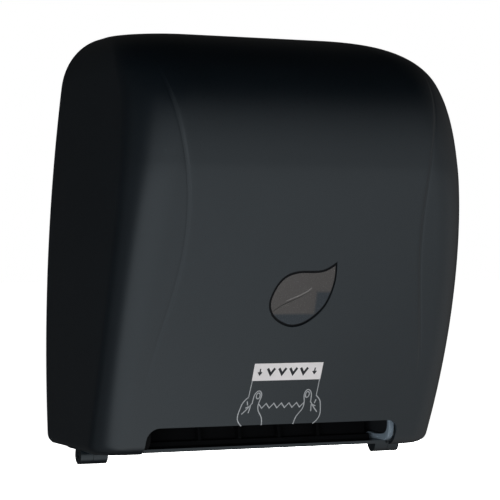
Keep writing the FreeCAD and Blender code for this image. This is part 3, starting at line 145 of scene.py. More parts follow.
# ------------------------------------------------------------------ printed sign, in mm on the front
SIGN_BANNER = [(-33.5, 65.5), (34.2, 65.5), (34.2, 81.2), (-33.5, 81.2)]
SIGN_STROKE = 0.95
SIGN_RISE = 0.08
SHEET_SIDES = [[(-33.0, 66.0), (-33.6, 51.0)], [(33.6, 66.0), (33.6, 50.5)]]
SHEET_TEETH = 12
SHEET_TEAR = (-22.6, 22.6, 40.0, 44.3)          # from x, to x, low points, high points
HAND_BACK = [(33.6, 50.5), (38.0, 46.0), (40.2, 39.0), (41.0, 32.0), (39.2, 27.5), (35.7, 24.0)]
HAND_THUMB = [(29.0, 44.5), (28.8, 49.0), (27.4, 54.0), (24.2, 56.2), (21.6, 53.8), (21.8, 48.5), (22.8, 43.0),
              (21.8, 38.0), (18.0, 32.5), (16.4, 28.5), (15.8, 24.2)]
HAND_NAIL = [(22.6, 51.6), (23.0, 53.4), (24.3, 54.3), (25.8, 53.4), (26.2, 51.4), (25.5, 49.5), (24.2, 48.9),
             (23.0, 49.6), (22.6, 51.6)]
HAND_FINGERS = [[(29.2, 44.6), (33.0, 39.8), (37.6, 34.9)], [(30.3, 42.6), (34.8, 40.6)],
                [(30.2, 42.4), (31.2, 35.8)], [(34.2, 46.8), (33.2, 43.2)]]
CHEVRONS = (-16.4, -5.2, 5.6, 16.2)
CHEVRON_HALF_WIDTH = 3.5
CHEVRON_HEIGHTS = (76.6, 71.2)
CHEVRON_STROKE = 2.3
ARROW_X = 27.0
ARROW_SHAFT = (76.4, 71.4)
ARROW_SHAFT_STROKE = 1.3
ARROW_HEAD_HALF_WIDTH = 1.8
ARROW_HEAD = (73.4, 71.0)
ARROW_HEAD_STROKE = 1.2


def case_depth(height, inset=0.0):
    if height < BELLY_HEIGHT:
        return CASE_DEPTH - inset - FRONT_TUCK * (1 - height / BELLY_HEIGHT) ** TUCK_POWER
    climb = min(1.0, (height - BELLY_HEIGHT) / (CASE_HEIGHT - inset - BELLY_HEIGHT))
    return (CASE_DEPTH - inset) * (1 - climb ** DOME_POWER) ** (1 / DOME_POWER)


def case_half_width(height, inset=0.0):
    width = CASE_HALF_WIDTH - inset - (height - SIDE_BOW_HEIGHT) ** 2 / (2 * SIDE_BOW_RADIUS)
    reach, drop = SHOULDER_WIDTH - inset, SHOULDER_HEIGHT - inset
    over = min(max(0.0, height - (CASE_HEIGHT - SHOULDER_HEIGHT)) / drop, 1.0)
    return width - reach + reach * (1 - over ** SHOULDER_POWER) ** (1 / SHOULDER_POWER)


def crease_half_width(height):
    span = SWELL_ABOVE if height > WAIST_HEIGHT else SWELL_BELOW
    turn = min(1.0, abs(height - WAIST_HEIGHT) / span)
    return WAIST_HALF_WIDTH + WAIST_SWELL * sin(turn * pi / 2) ** 2


def panel_rise(height):
    near = min((height - PANEL_FOOT) / PANEL_FADE, (PANEL_HEAD - height) / PANEL_FADE, 1.0)
    share = max(0.0, near)
    return PANEL_RISE * share * share * (3 - 2 * share)


def place(x, y, height):
    """Point of the row frame in metres, from mm above the case's foot."""
    return Vector((x * MM, y * MM, (height - ORIGIN_RISE) * MM))


def rows_of(inset, floor, lip):
    """(height, depth, turned) of each level row, from the lower edge to the rear of the top."""
    rows = []
    for step in range(LIP_ROWS):
        turn = radians(90 * step / LIP_ROWS)
        height = floor + lip * (1 - cos(turn))
        rows.append((height, case_depth(height, inset), lip * (1 - sin(turn))))
    start = floor + lip
    for step in range(FRONT_ROWS):
        height = start + (BELLY_HEIGHT - start) * step / FRONT_ROWS
        rows.append((height, case_depth(height, inset), 0.0))
    depth, climb = CASE_DEPTH - inset, CASE_HEIGHT - inset - BELLY_HEIGHT
    turns = np.linspace(0.0, pi / 2, DOME_SAMPLES)
    depths = depth * np.abs(np.cos(turns)) ** (2 / DOME_POWER)
    heights = BELLY_HEIGHT + climb * np.sin(turns) ** (2 / DOME_POWER)
    keep = depths > REAR_GAP
    depths, heights = depths[keep], heights[keep]
    length = np.concatenate([[0.0], np.cumsum(np.hypot(np.diff(depths), np.diff(heights)))])
    for way in np.linspace(0.0, length[-1], DOME_ROWS):
        rows.append((float(np.interp(way, length, heights)), float(np.interp(way, length, depths)), 0.0))
    return rows


def half_row(height, depth, turned, inset, raised):
    """Points of one level from the middle of the front round to the rear of the right side."""
    width = case_half_width(height, inset) - turned
    front = turned - depth
    edge_radius = EDGE_RADIUS_FOOT - inset
    edge_radius += (EDGE_RADIUS_HEAD - EDGE_RADIUS_FOOT) * (height / CASE_HEIGHT) ** EDGE_POWER
    radius = max(LEAST_EDGE_RADIUS, min(edge_radius - turned / 2, 0.9 * (-REAR_GAP - front)))
    flat = width - radius
    crease = crease_half_width(height)
    if crease > flat:
        crease = flat + radius * asin(min(0.8, (crease - flat) / radius))
    bend = flat + radius * pi / 2
    gutter = crease + RAMP_HALF_WIDTH
    ways = list(np.linspace(0.0, crease - RAMP_HALF_WIDTH, PANEL_COLUMNS))
    ways += list(np.linspace(crease - RAMP_HALF_WIDTH, gutter, RAMP_COLUMNS))[1:]
    ways += list(np.linspace(gutter, gutter + GUTTER_WIDTH, GUTTER_COLUMNS))[1:]
    ways += list(np.linspace(gutter + GUTTER_WIDTH, max(bend, gutter + GUTTER_WIDTH), EDGE_COLUMNS))[1:]
    rise = panel_rise(height) if raised else 0.0
    points = []
    for way in ways:
        share = min(1.0, max(0.0, (gutter - way) / (2 * RAMP_HALF_WIDTH)))
        lift = rise * share * share * (3 - 2 * share)
        across = (way - gutter) / GUTTER_WIDTH
        if 0 < across < 1:
            lift -= GUTTER_DEPTH * rise / PANEL_RISE * sin(pi * across) ** 2
        turn = max(0.0, way - flat) / radius
        x = min(way, flat) + radius * sin(turn)
        points.append((x, front + radius * (1 - cos(turn)) - lift, height))
    side = front + radius
    for step in range(1, SIDE_COLUMNS + 1):
        points.append((width, side + (-REAR_GAP - side) * step / SIDE_COLUMNS, height))
    return points


def skin(inset, floor, lip, raised):
    """Grid of points of one skin of the cover: rows of points from the left rear round to the right rear."""
    grid = []
    for height, depth, turned in rows_of(inset, floor, lip):
        right = half_row(height, depth, turned, inset, raised)
        left = [(-x, y, z) for x, y, z in right[:0:-1]]
        grid.append(left + right)
    return grid


def object_from(name, bm, smooth_angle=30.0):
    mesh = bpy.data.meshes.new(name)
    bm.to_mesh(mesh)
    bm.free()
    for face in mesh.polygons:
        face.use_smooth = True
    mesh.set_sharp_from_angle(angle=radians(smooth_angle))
    thing = bpy.data.objects.new(name, mesh)
    bpy.context.scene.collection.objects.link(thing)
    return thing


def cut_away(thing, cutter):
    """Exact cut of one mesh object by another, with the result kept in the first one's mesh."""
    step = thing.modifiers.new("cut", "BOOLEAN")
    step.operation = "DIFFERENCE"
    step.solver = "EXACT"
    step.object = cutter
    shown = thing.evaluated_get(bpy.context.evaluated_depsgraph_get())
    mesh = bpy.data.meshes.new_from_object(shown)
    thing.modifiers.clear()
    old = thing.data
    thing.data = mesh
    bpy.data.meshes.remove(old)
    bpy.data.objects.remove(cutter)


def rounded(points, radius, steps=6):
    """Closed loop of 2-D points with each corner rounded."""
    loop = []
    count = len(points)
    for index in range(count):
        corner = Vector(points[index])
        before = (Vector(points[index - 1]) - corner).normalized()
        after = (Vector(points[(index + 1) % count]) - corner).normalized()
        half = before.angle(after) / 2
        reach = radius / np.tan(half)
        middle = corner + (before + after).normalized() * (radius / sin(half))
        start, end = corner + before * reach - middle, corner + after * reach - middle
        for step in range(steps + 1):
            point = middle + start.slerp(end, step / steps).normalized() * radius
            loop.append((point.x, point.y))
    return loop


def add_prism(bm, loop, along, low, high):
    """Closed prism of a 2-D loop: along is the axis that it is drawn along."""
    def corner(point, reach):
        a, b = point
        if along == "x":
            return place(reach, a, b)
        if along == "y":
            return place(a, reach, b)
        return place(a, b, reach)
    foot = [bm.verts.new(corner(point, low)) for point in loop]
    head = [bm.verts.new(corner(point, high)) for point in loop]
    count = len(loop)
    for index in range(count):
        after = (index + 1) % count
        bm.faces.new([foot[index], foot[after], head[after], head[index]])
    bm.faces.new(foot[::-1])
    bm.faces.new(head)


def circle(a, b, radius, count=48):
    turns = [2 * pi * step / count for step in range(count)]
    return [(a + radius * cos(turn), b + radius * sin(turn)) for turn in turns]


def prism_object(name, loop, along, low, high):
    bm = bmesh.new()
    add_prism(bm, loop, along, low, high)
    bmesh.ops.recalc_face_normals(bm, faces=bm.faces)
    return object_from(name, bm)


def add_tube(bm, y, z, inner, outer, low, high, count=64):
    """Round sleeve along X, open through its middle."""
    rings = [[bm.verts.new(place(x, *point)) for point in circle(y, z, radius, count)]
             for x, radius in ((low, outer), (high, outer), (high, inner), (low, inner))]
    for index in range(4):
        here, there = rings[index], rings[(index + 1) % 4]
        for step in range(count):
            after = (step + 1) % count
            bm.faces.new([here[step], here[after], there[after], there[step]])


# ------------------------------------------------------------------ the leaf's outline
def curve_through(points, count):
    """Evenly spaced points on a natural cubic spline through 2-D points."""
    given = np.array(points, float)
    ways = np.concatenate([[0.0], np.cumsum(np.hypot(*np.diff(given, axis=0).T))])
    spans = np.diff(ways)
    size = len(given)
    matrix = np.eye(size)
    wanted = np.zeros((size, 2))
    for index in range(1, size - 1):
        before, after = spans[index - 1], spans[index]
        matrix[index, index - 1:index + 2] = (before, 2 * (before + after), after)
        wanted[index] = 6 * ((given[index + 1] - given[index]) / spans[index]
                             - (given[index] - given[index - 1]) / spans[index - 1])
    bends = np.linalg.solve(matrix, wanted)
    fine = np.linspace(0.0, ways[-1], 40 * size)
    index = np.clip(np.searchsorted(ways, fine, side="right") - 1, 0, size - 2)
    left, right = (ways[index + 1] - fine)[:, None], (fine - ways[index])[:, None]
    span = spans[index][:, None]
    curve = (bends[index] * left ** 3 + bends[index + 1] * right ** 3) / (6 * span)
    curve += (given[index] / span - bends[index] * span / 6) * left
    curve += (given[index + 1] / span - bends[index + 1] * span / 6) * right
    length = np.concatenate([[0.0], np.cumsum(np.hypot(*np.diff(curve, axis=0).T))])
    even = np.linspace(0.0, length[-1], count)
    return [(float(np.interp(way, length, curve[:, 0])), float(np.interp(way, length, curve[:, 1])))
            for way in even]


def leaf_loop(grow, count=120):
    """Closed loop beside the leaf's outline, moved out by grow, or in when it is negative."""
    line = [Vector(point) for point in curve_through(LEAF, count + 1)]
    loop = []
    for index in range(1, count):
        tangent = (line[index + 1] - line[index - 1]).normalized()
        loop.append(line[index] + Vector((tangent.y, -tangent.x)) * grow)
    tip = line[0]
    sides = ((line[1] - tip).normalized(), (line[-2] - tip).normalized())
    half = sides[0].angle(sides[1]) / 2
    inward = (sides[0] + sides[1]).normalized()
    reach = -grow / sin(half) if grow < 0 else -grow * 1.6
    tip_point = tip + inward * reach
    if grow < 0:
        loop = [point for point in loop if (point - tip).dot(inward) > reach * 1.02]
    return [(tip_point.x, tip_point.y)] + [(point.x, point.y) for point in loop]


def front_point(x, height, inset=0.0):
    return place(x, -case_depth(height, 0.0) + inset - panel_rise(height), height)


def slab(bm, loop, outer, inner, cell=3.0, slot=0):
    """Plate that follows the front, between two insets; its outline is a 2-D loop."""
    flat = bmesh.new()
    flat.faces.new([flat.verts.new((x, 0.0, z)) for x, z in loop])
    xs, zs = [point[0] for point in loop], [point[1] for point in loop]
    for low, high, normal in ((min(xs), max(xs), (1, 0, 0)), (min(zs), max(zs), (0, 0, 1))):
        cuts = int((high - low) / cell)
        for step in range(1, cuts + 1):
            at = low + (high - low) * step / (cuts + 1)
            bmesh.ops.bisect_plane(flat, geom=flat.verts[:] + flat.edges[:] + flat.faces[:],
                                   plane_co=Vector(normal) * at, plane_no=normal)
    flat.verts.index_update()
    front = [bm.verts.new(front_point(v.co.x, v.co.z, outer)) for v in flat.verts]
    back = [bm.verts.new(front_point(v.co.x, v.co.z, inner)) for v in flat.verts]
    for face in flat.faces:
        order = [v.index for v in face.verts]
        bm.faces.new([front[index] for index in order]).material_index = slot
        bm.faces.new([back[index] for index in order[::-1]]).material_index = slot
    for edge in flat.edges:
        if edge.is_boundary:
            a, b = edge.verts[0].index, edge.verts[1].index
            bm.faces.new([front[a], front[b], back[b], back[a]]).material_index = slot
    flat.free()


def ribbon(bm, points, width, rise, slot=0, sink=0.25):
    """Flat stroke that follows the front along a 2-D line, standing out by rise."""
    line = [Vector(point) for point in points]
    steps = [(b - a).normalized() for a, b in zip(line, line[1:])]
    rows = []
    for index, point in enumerate(line):
        before, after = steps[max(index - 1, 0)], steps[min(index, len(steps) - 1)]
        middle = (before + after).normalized()
        reach = min(2.2, 1 / max(0.2, middle.dot(after))) * width / 2
        side = Vector((-middle.y, middle.x)) * reach
        corners = [(point + side, -rise), (point - side, -rise), (point - side, sink), (point + side, sink)]
        rows.append([bm.verts.new(front_point(place_2d.x, place_2d.y, inset)) for place_2d, inset in corners])
    for row, following in zip(rows, rows[1:]):
        for index in range(4):
            after = (index + 1) % 4
            bm.faces.new([row[index], row[after], following[after], following[index]]).material_index = slot
    bm.faces.new(rows[0][::-1]).material_index = slot
    bm.faces.new(rows[-1]).material_index = slot


def ridge(bm, points, half_widths, inset, rise, slot=0):
    """Low rib with a rounded crest on a surface inset from the front, from one half width to another."""
    line = [Vector(point) for point in points]
    rows = []
    for index, point in enumerate(line):
        along = (line[min(index + 1, len(line) - 1)] - line[max(index - 1, 0)]).normalized()
        share = index / (len(line) - 1)
        half = half_widths[0] + (half_widths[1] - half_widths[0]) * share
        half *= sin(pi * (0.04 + 0.9 * share)) ** 0.3
        row = []
        for turn in range(0, 181, 30):
            side = point + Vector((-along.y, along.x)) * (half * cos(radians(turn)))
            height = rise * half / max(half_widths) * sin(radians(turn))
            row.append(bm.verts.new(front_point(side.x, side.y, inset + 0.1 - height)))
        rows.append(row)
    count = len(rows[0])
    for row, following in zip(rows, rows[1:]):
        for index in range(count):
            after = (index + 1) % count
            bm.faces.new([row[index], row[after], following[after], following[index]]).material_index = slot
    bm.faces.new(rows[0][::-1]).material_index = slot
    bm.faces.new(rows[-1]).material_index = slot


# ------------------------------------------------------------------ the cover, as one smooth moulding
def make_cover():
    bm = bmesh.new()
    skins = []
    for inset, floor, lip, raised in ((0.0, 0.0, LIP_RADIUS, True),
                                      (COVER_WALL, COVER_WALL, LIP_RADIUS - COVER_WALL, False)):
        grid = skin(inset, floor, lip, raised)
        skins.append([[bm.verts.new(place(*point)) for point in row] for row in grid])
    outer, inner = skins
    rows, columns = len(outer), len(outer[0])
    for row in range(rows - 1):
        for column in range(columns - 1):
            for grid, order in ((outer, 1), (inner, -1)):
                corners = [grid[row][column], grid[row][column + 1],
                           grid[row + 1][column + 1], grid[row + 1][column]]
                bm.faces.new(corners[::order])
    for row in range(rows - 1):
        bm.faces.new([outer[row][0], outer[row + 1][0], inner[row + 1][0], inner[row][0]])
        bm.faces.new([outer[row + 1][-1], outer[row][-1], inner[row][-1], inner[row + 1][-1]])
    for column in range(columns - 1):
        bm.faces.new([outer[0][column + 1], outer[0][column], inner[0][column], inner[0][column + 1]])
        bm.faces.new([outer[-1][column], outer[-1][column + 1], inner[-1][column + 1], inner[-1][column]])
    bmesh.ops.remove_doubles(bm, verts=bm.verts, dist=2e-6)
    bmesh.ops.recalc_face_normals(bm, faces=bm.faces)
    cover = object_from("front_cover", bm)

    notch = rounded([(-NOTCH_HALF_WIDTH, -30), (NOTCH_HALF_WIDTH, -30), (NOTCH_HALF_WIDTH, NOTCH_HEIGHT),
                     (-NOTCH_HALF_WIDTH, NOTCH_HEIGHT)], NOTCH_CORNER)
    cut_away(cover, prism_object("cut_notch", notch, "y", -CASE_DEPTH - 10, HINGE_Y - 30))
    wall_x = case_half_width(0.0, COVER_WALL)
    rear_y = HINGE_Y + HINGE_RADIUS + REAR_CUT_GAP
    rear = [(-wall_x, rear_y), (wall_x, rear_y), (wall_x, 10), (-wall_x, 10)]
    cut_away(cover, prism_object("cut_rear", rear, "z", -1, LIP_RADIUS + 2))
    turn = [(-REAR_GAP - HEEL_RADIUS + HEEL_RADIUS * sin(angle), HEEL_RADIUS - HEEL_RADIUS * cos(angle))
            for angle in (radians(step) for step in range(0, 91, 6))]
    heel = turn + [(8, HEEL_RADIUS), (8, -5), (-REAR_GAP - HEEL_RADIUS, -5)]
    cut_away(cover, prism_object("cut_heel", heel, "x", -200, 200))
    lock_hole = circle(0, LOCK_Y, LOCK_HOLE_RADIUS)
    cut_away(cover, prism_object("cut_lock", lock_hole, "z", CASE_HEIGHT - 20, CASE_HEIGHT + 5))
    cutter = bmesh.new()
    rings = []
    for grow, inset in LEAF_CUT:
        loop = leaf_loop(grow)
        rings.append([cutter.verts.new(front_point(x, z, inset)) for x, z in loop])
    for low, high in zip(rings, rings[1:]):
        for index in range(len(low)):
            after = (index + 1) % len(low)
            cutter.faces.new([low[index], low[after], high[after], high[index]])
    cutter.faces.new(rings[0][::-1])
    cutter.faces.new(rings[-1])
    bmesh.ops.recalc_face_normals(cutter, faces=cutter.faces)
    cut_away(cover, object_from("cut_leaf", cutter))

    bm = bmesh.new()
    bm.from_mesh(cover.data)
    for side in (1, -1):
        low, high = sorted((side * KNUCKLE_INNER, side * KNUCKLE_OUTER))
        add_tube(bm, HINGE_Y, HINGE_Z, HINGE_BORE_RADIUS, HINGE_RADIUS, low, high)
        low, high = sorted((side * KNUCKLE_INNER, side * (case_half_width(0.0) - KNUCKLE_WEB_SIDE_GAP)))
        add_prism(bm, rounded(KNUCKLE_WEB, KNUCKLE_WEB_CORNER), "x", low, high)
    stud_ring = leaf_loop(STUD_REACH, 120)
    for share in STUD_SHARES:
        x, z = stud_ring[round(share * len(stud_ring))]
        skin_y = -case_depth(z)
        stud_end = skin_y + COVER_WALL + LENS_FLANGE_WALL + RETAINER_WALL + STUD_END
        add_prism(bm, circle(x, z, STUD_RADIUS, 32), "y", skin_y + STUD_ROOT, stud_end)
    bmesh.ops.recalc_face_normals(bm, faces=bm.faces)
    bm.to_mesh(cover.data)
    bm.free()
    for face in cover.data.polygons:
        face.use_smooth = True
    cover.data.set_sharp_from_angle(angle=radians(28))
    return cover


def make_lens():
    """Smoked pane with its lower rim, near-black as painted shade of the gap at its edge, the flange behind
    it, and the midrib with its glint, in painted shade and painted highlight.
    """
    behind = COVER_WALL + LAYER_GAP + LENS_FLANGE_WALL
    bm = bmesh.new()
    slab(bm, leaf_loop(-LENS_GAP - LENS_RIM), LENS_RECESS, behind, 2.5)
    slab(bm, leaf_loop(-LENS_GAP), LENS_RECESS + LENS_RIM_DROP, behind - 0.02, 2.5, 1)
    slab(bm, leaf_loop(LENS_FLANGE), COVER_WALL + LAYER_GAP, behind - 0.01, 4.0, 1)
    ridge(bm, curve_through(VEIN, 40), VEIN_HALF_WIDTHS, LENS_RECESS, VEIN_RISE, 3)
    ridge(bm, curve_through(GLINT, 30), GLINT_HALF_WIDTHS, LENS_RECESS, GLINT_RISE, 2)
    bmesh.ops.recalc_face_normals(bm, faces=bm.faces)
    return object_from("leaf_window", bm)


def down_mark(x, half_width, top, point):
    return [(x - half_width, top), (x, point), (x + half_width, top)]


def make_sign():
    """Printed pull sign: a white band with down marks, and two hands that hold a sheet with a torn edge."""
    bm = bmesh.new()
    slab(bm, SIGN_BANNER, -SIGN_RISE, 0.3, 4.0)
    for side in SHEET_SIDES:
        ribbon(bm, curve_through(side, 6), 0.8 * SIGN_STROKE, SIGN_RISE, 2)
    low_x, high_x, low, high = SHEET_TEAR
    pitch = (high_x - low_x) / SHEET_TEETH
    teeth = [(low_x + pitch * index, low if index % 2 else high) for index in range(SHEET_TEETH + 1)]
    ribbon(bm, teeth, SIGN_STROKE, SIGN_RISE, 2)
    for mirror in (1, -1):
        lines = [curve_through(HAND_BACK, 24), curve_through(HAND_THUMB, 48), curve_through(HAND_NAIL, 24)]
        lines += [curve_through(line, 8) for line in HAND_FINGERS]
        for line in lines:
            ribbon(bm, [(mirror * x, z) for x, z in line], SIGN_STROKE, SIGN_RISE, 2)
    for x in CHEVRONS:
        ribbon(bm, down_mark(x, CHEVRON_HALF_WIDTH, *CHEVRON_HEIGHTS), CHEVRON_STROKE, 2 * SIGN_RISE, 1)
    for x in (-ARROW_X, ARROW_X):
        ribbon(bm, [(x, height) for height in ARROW_SHAFT], ARROW_SHAFT_STROKE, 2 * SIGN_RISE, 1)
        ribbon(bm, down_mark(x, ARROW_HEAD_HALF_WIDTH, *ARROW_HEAD), ARROW_HEAD_STROKE, 2.2 * SIGN_RISE, 1)
    bmesh.ops.recalc_face_normals(bm, faces=bm.faces)
    return object_from("pull_sign", bm)


GUIDE_INNER = 119.0
GUIDE_OUTER = 124.5         # 125.5 in the CAD, whose outline is a plainer hook
HOOK_EDGE_RADIUS = 0.7
SAME_PLACE = 1e-6           # metres
GUIDE_OUTLINE = [(-94.6, 4.0), (-93.0, 5.4), (-93.3, 7.6), (-96.0, 9.5), (-100.5, 9.8), (-109.0, 9.1),
                 (-118.0, 9.3), (-127.0, 10.2), (-132.6, 11.9), (-135.8, 15.0), (-137.0, 19.0), (-136.8, 23.8),
                 (-137.6, 25.9), (-139.7, 25.4), (-141.0, 22.0), (-141.4, 17.0), (-140.0, 11.0), (-136.6, 6.4),
                 (-131.0, 4.0)]
# a dark sheet behind the comb's bar that stands in for the shade inside the outlet
SHADE_SHEET_HALF_LENGTH = 113.0
SHADE_SHEET_PROFILE = [(-104.0, 7.0), (-101.6, 7.0), (-99.2, 26.0), (-100.6, 26.3)]


def make_guide(side):
    """End of the outlet, as a smooth hook with eased edges."""
    bm = bmesh.new()
    low, high = sorted((side * GUIDE_INNER, side * GUIDE_OUTER))
    add_prism(bm, curve_through(GUIDE_OUTLINE, 72), "x", low, high)
    bmesh.ops.recalc_face_normals(bm, faces=bm.faces)
    rims = [edge for edge in bm.edges if abs(edge.verts[0].co.x - edge.verts[1].co.x) < SAME_PLACE]
    bmesh.ops.bevel(bm, geom=rims, offset=HOOK_EDGE_RADIUS * MM, segments=3, profile=0.5, affect="EDGES")
    return object_from("outlet_hook_right" if side > 0 else "outlet_hook_left", bm)


def make_comb():
    """The stripper comb with a sheet that closes the outlet behind its bar: a dark sheet put where the outlet
    is in shade.
    """
    bm = bmesh.new()
    bm.from_mesh(frame["nodes"]["stripper_comb"].data)
    add_prism(bm, SHADE_SHEET_PROFILE, "x", -SHADE_SHEET_HALF_LENGTH, SHADE_SHEET_HALF_LENGTH)
    bmesh.ops.recalc_face_normals(bm, faces=bm.faces)
    return object_from("comb_with_shade_sheet", bm)


# ------------------------------------------------------------------ materials
NOISE_BAND = (0.3, 0.7)         # where nearly all values of the noise lie
DRIFT_SCALE = 26.0              # per metre
DRIFT_SHADE = 0.86
BUMP_DISTANCE = 0.0002          # metres
LENS_WARM = (0.061, 0.058, 0.057)
LENS_COLD = (0.017, 0.024, 0.031)


def noise_chain(nodes, links, scale, detail, stretch=(1, 1, 1)):
    place_node = nodes.new("ShaderNodeTexCoord")
    mapping = nodes.new("ShaderNodeMapping")
    mapping.inputs["Scale"].default_value = stretch
    texture = nodes.new("ShaderNodeTexNoise")
    texture.inputs["Scale"].default_value = scale
    texture.inputs["Detail"].default_value = detail
    links.new(place_node.outputs["Object"], mapping.inputs["Vector"])
    links.new(mapping.outputs["Vector"], texture.inputs["Vector"])
    return texture


def ranged(nodes, links, source, low, high):
    span = nodes.new("ShaderNodeMapRange")
    span.inputs["From Min"].default_value, span.inputs["From Max"].default_value = NOISE_BAND
    span.inputs["To Min"].default_value = low
    span.inputs["To Max"].default_value = high
    links.new(source, span.inputs["Value"])
    return span.outputs["Result"]


def worked_out(nodes, links, operation, one, other):
    """Output of a math node on two values, each a number or a node's output."""
    step = nodes.new("ShaderNodeMath")
    step.operation = operation
    for index, value in enumerate((one, other)):
        if isinstance(value, float):
            step.inputs[index].default_value = value
        else:
            links.new(value, step.inputs[index])
    return step.outputs[0]


def finish_of(name, colour, roughness, grain=2200.0, bump=0.12, spread=0.05, metallic=0.0, stretch=(1, 1, 1),
              second=None, specular=0.5, tint=(1.0, 1.0, 1.0)):
    """Moulded or metal surface: fine grain in bump and roughness, and a slow drift of colour."""
    material = bpy.data.materials.new(name)
    material.use_nodes = True
    nodes, links = material.node_tree.nodes, material.node_tree.links
    shader = nodes["Principled BSDF"]
    shader.inputs["Metallic"].default_value = metallic
    shader.inputs["Specular IOR Level"].default_value = specular
    shader.inputs["Specular Tint"].default_value = (*tint, 1.0)
    fine = noise_chain(nodes, links, grain, 3.0, stretch)
    slow = noise_chain(nodes, links, DRIFT_SCALE, 4.0, stretch)
    mix = nodes.new("ShaderNodeMix")
    mix.data_type = "RGBA"
    other = second or tuple(channel * DRIFT_SHADE for channel in colour)
    mix.inputs["A"].default_value = (*colour, 1.0)
    mix.inputs["B"].default_value = (*other, 1.0)
    links.new(ranged(nodes, links, slow.outputs["Fac"], 0.0, 1.0), mix.inputs["Factor"])
    links.new(mix.outputs["Result"], shader.inputs["Base Color"])
    links.new(ranged(nodes, links, fine.outputs["Fac"], roughness - spread, roughness + spread),
              shader.inputs["Roughness"])
    relief = nodes.new("ShaderNodeBump")
    relief.inputs["Strength"].default_value = bump
    relief.inputs["Distance"].default_value = BUMP_DISTANCE
    links.new(fine.outputs["Fac"], relief.inputs["Height"])
    links.new(relief.outputs["Normal"], shader.inputs["Normal"])
    return material


def lens_material():
    """Opaque stand-in for a smoked pane: warm grey for the roll's bay, dark blue-grey beside and below it."""
    material = finish_of("smoked_lens", LENS_WARM, 0.26, 900.0, 0.01, 0.03, specular=0.3)
    nodes, links = material.node_tree.nodes, material.node_tree.links
    shader = nodes["Principled BSDF"]
    warm = shader.inputs["Base Color"].links[0].from_socket
    place_node = nodes.new("ShaderNodeTexCoord")
    split = nodes.new("ShaderNodeSeparateXYZ")
    links.new(place_node.outputs["Object"], split.inputs[0])

    def beyond(axis, edge, softness):
        span = nodes.new("ShaderNodeMapRange")
        span.inputs["From Min"].default_value = edge - softness
        span.inputs["From Max"].default_value = edge + softness
        links.new(split.outputs[axis], span.inputs["Value"])
        return span.outputs["Result"]

    above_foot = beyond("Z", (ROLL_FOOT - ORIGIN_RISE) * MM, ROLL_FOOT_BLUR * MM)
    above_step = beyond("Z", (ROLL_STEP - ORIGIN_RISE) * MM, ROLL_STEP_BLUR * MM)
    left_of_side = beyond("X", ROLL_SIDE * MM, -ROLL_SIDE_BLUR * MM)
    beside_module = worked_out(nodes, links, "MINIMUM", above_foot, left_of_side)
    roll = worked_out(nodes, links, "MAXIMUM", above_step, beside_module)
    tone = nodes.new("ShaderNodeMix")
    tone.data_type = "RGBA"
    tone.inputs["A"].default_value = (*LENS_COLD, 1.0)
    links.new(warm, tone.inputs["B"])
    links.new(roll, tone.inputs["Factor"])
    links.new(tone.outputs["Result"], shader.inputs["Base Color"])
    return material


MATERIALS = {
    "cover": finish_of("charcoal_moulding", (0.0038, 0.0056, 0.0076), 0.30, 1500.0, 0.05, 0.03,
                       second=(0.0032, 0.0049, 0.0067), specular=0.5, tint=(0.84, 0.94, 1.0)),
    "lens": lens_material(),
    "dark_plastic": finish_of("black_moulding", (0.010, 0.011, 0.013), 0.55, 1800.0, 0.15, specular=0.25),
    "pale_plastic": finish_of("pale_grey_moulding", (0.42, 0.43, 0.44), 0.5, 1800.0, 0.12),
    "guide_plastic": finish_of("blue_grey_moulding", (0.135, 0.175, 0.215), 0.42, 1800.0, 0.10),
    "bearing_plastic": finish_of("natural_acetal", (0.66, 0.65, 0.60), 0.38, 1500.0, 0.06),
    "drum_plastic": finish_of("grey_drum_moulding", (0.17, 0.18, 0.19), 0.45, 1800.0, 0.12),
    "rubber": finish_of("black_rubber", (0.020, 0.020, 0.021), 0.8, 2600.0, 0.3, specular=0.3),
    "steel": finish_of("plated_steel", (0.56, 0.57, 0.58), 0.32, 900.0, 0.05, 0.08, 1.0, (1, 1, 14)),
    "spring_steel": finish_of("spring_wire", (0.46, 0.47, 0.49), 0.28, 1400.0, 0.05, 0.05, 1.0),
    "lock_metal": finish_of("dull_chrome", (0.60, 0.61, 0.63), 0.24, 1200.0, 0.03, 0.06, 1.0),
}
# painted shade: near-black rim round the pane, standing in for the shade in the gap between lens and cover
LENS_RIM_SHADE = finish_of("lens_rim_painted_shade", (0.002, 0.0025, 0.0035), 0.5, 1500.0, 0.05, specular=0.1)
# painted shade: near-black for the comb, its sheet and the left hook, where the outlet lies in shade
OUTLET_SHADE = finish_of("outlet_painted_shade", (0.0022, 0.0024, 0.0028), 0.7, 1800.0, 0.15, specular=0.06)
# painted highlight: a light strip beside the midrib that stands in for its glint
LENS_GLINT = finish_of("painted_glint_on_vein", (0.135, 0.130, 0.128), 0.25, 900.0, 0.02, 0.03)
# painted shade: the dark line of the midrib
LENS_VEIN_SHADE = finish_of("painted_shade_on_vein", (0.022, 0.022, 0.021), 0.4, 900.0, 0.02, 0.03, specular=0.2)
WHITE_PRINT = finish_of("white_print", (0.80, 0.78, 0.79), 0.6, 2400.0, 0.05, specular=0.2)
GREY_PRINT = finish_of("grey_print", (0.40, 0.42, 0.44), 0.6, 2400.0, 0.05, specular=0.2)
BLACK_PRINT = finish_of("black_print", (0.020, 0.022, 0.026), 0.6, 2400.0, 0.05, specular=0.2)

CHEEKS_IN_PAINTED_SHADE = ("left_cheek", "right_cheek")         # the cheeks take the black moulding: painted shade inside the outlet, so nothing pale shows there
for entry in frame["record"]["subparts"]:
    node = frame["nodes"][entry["node"]]
    finish = MATERIALS["dark_plastic" if entry["node"] in CHEEKS_IN_PAINTED_SHADE else entry["material_slot"]]
    for slot in node.material_slots:
        slot.material = finish

cover = make_cover()
cover.data.materials.clear()
cover.data.materials.append(MATERIALS["cover"])
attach(cover, "cover")
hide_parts("cover_shell")

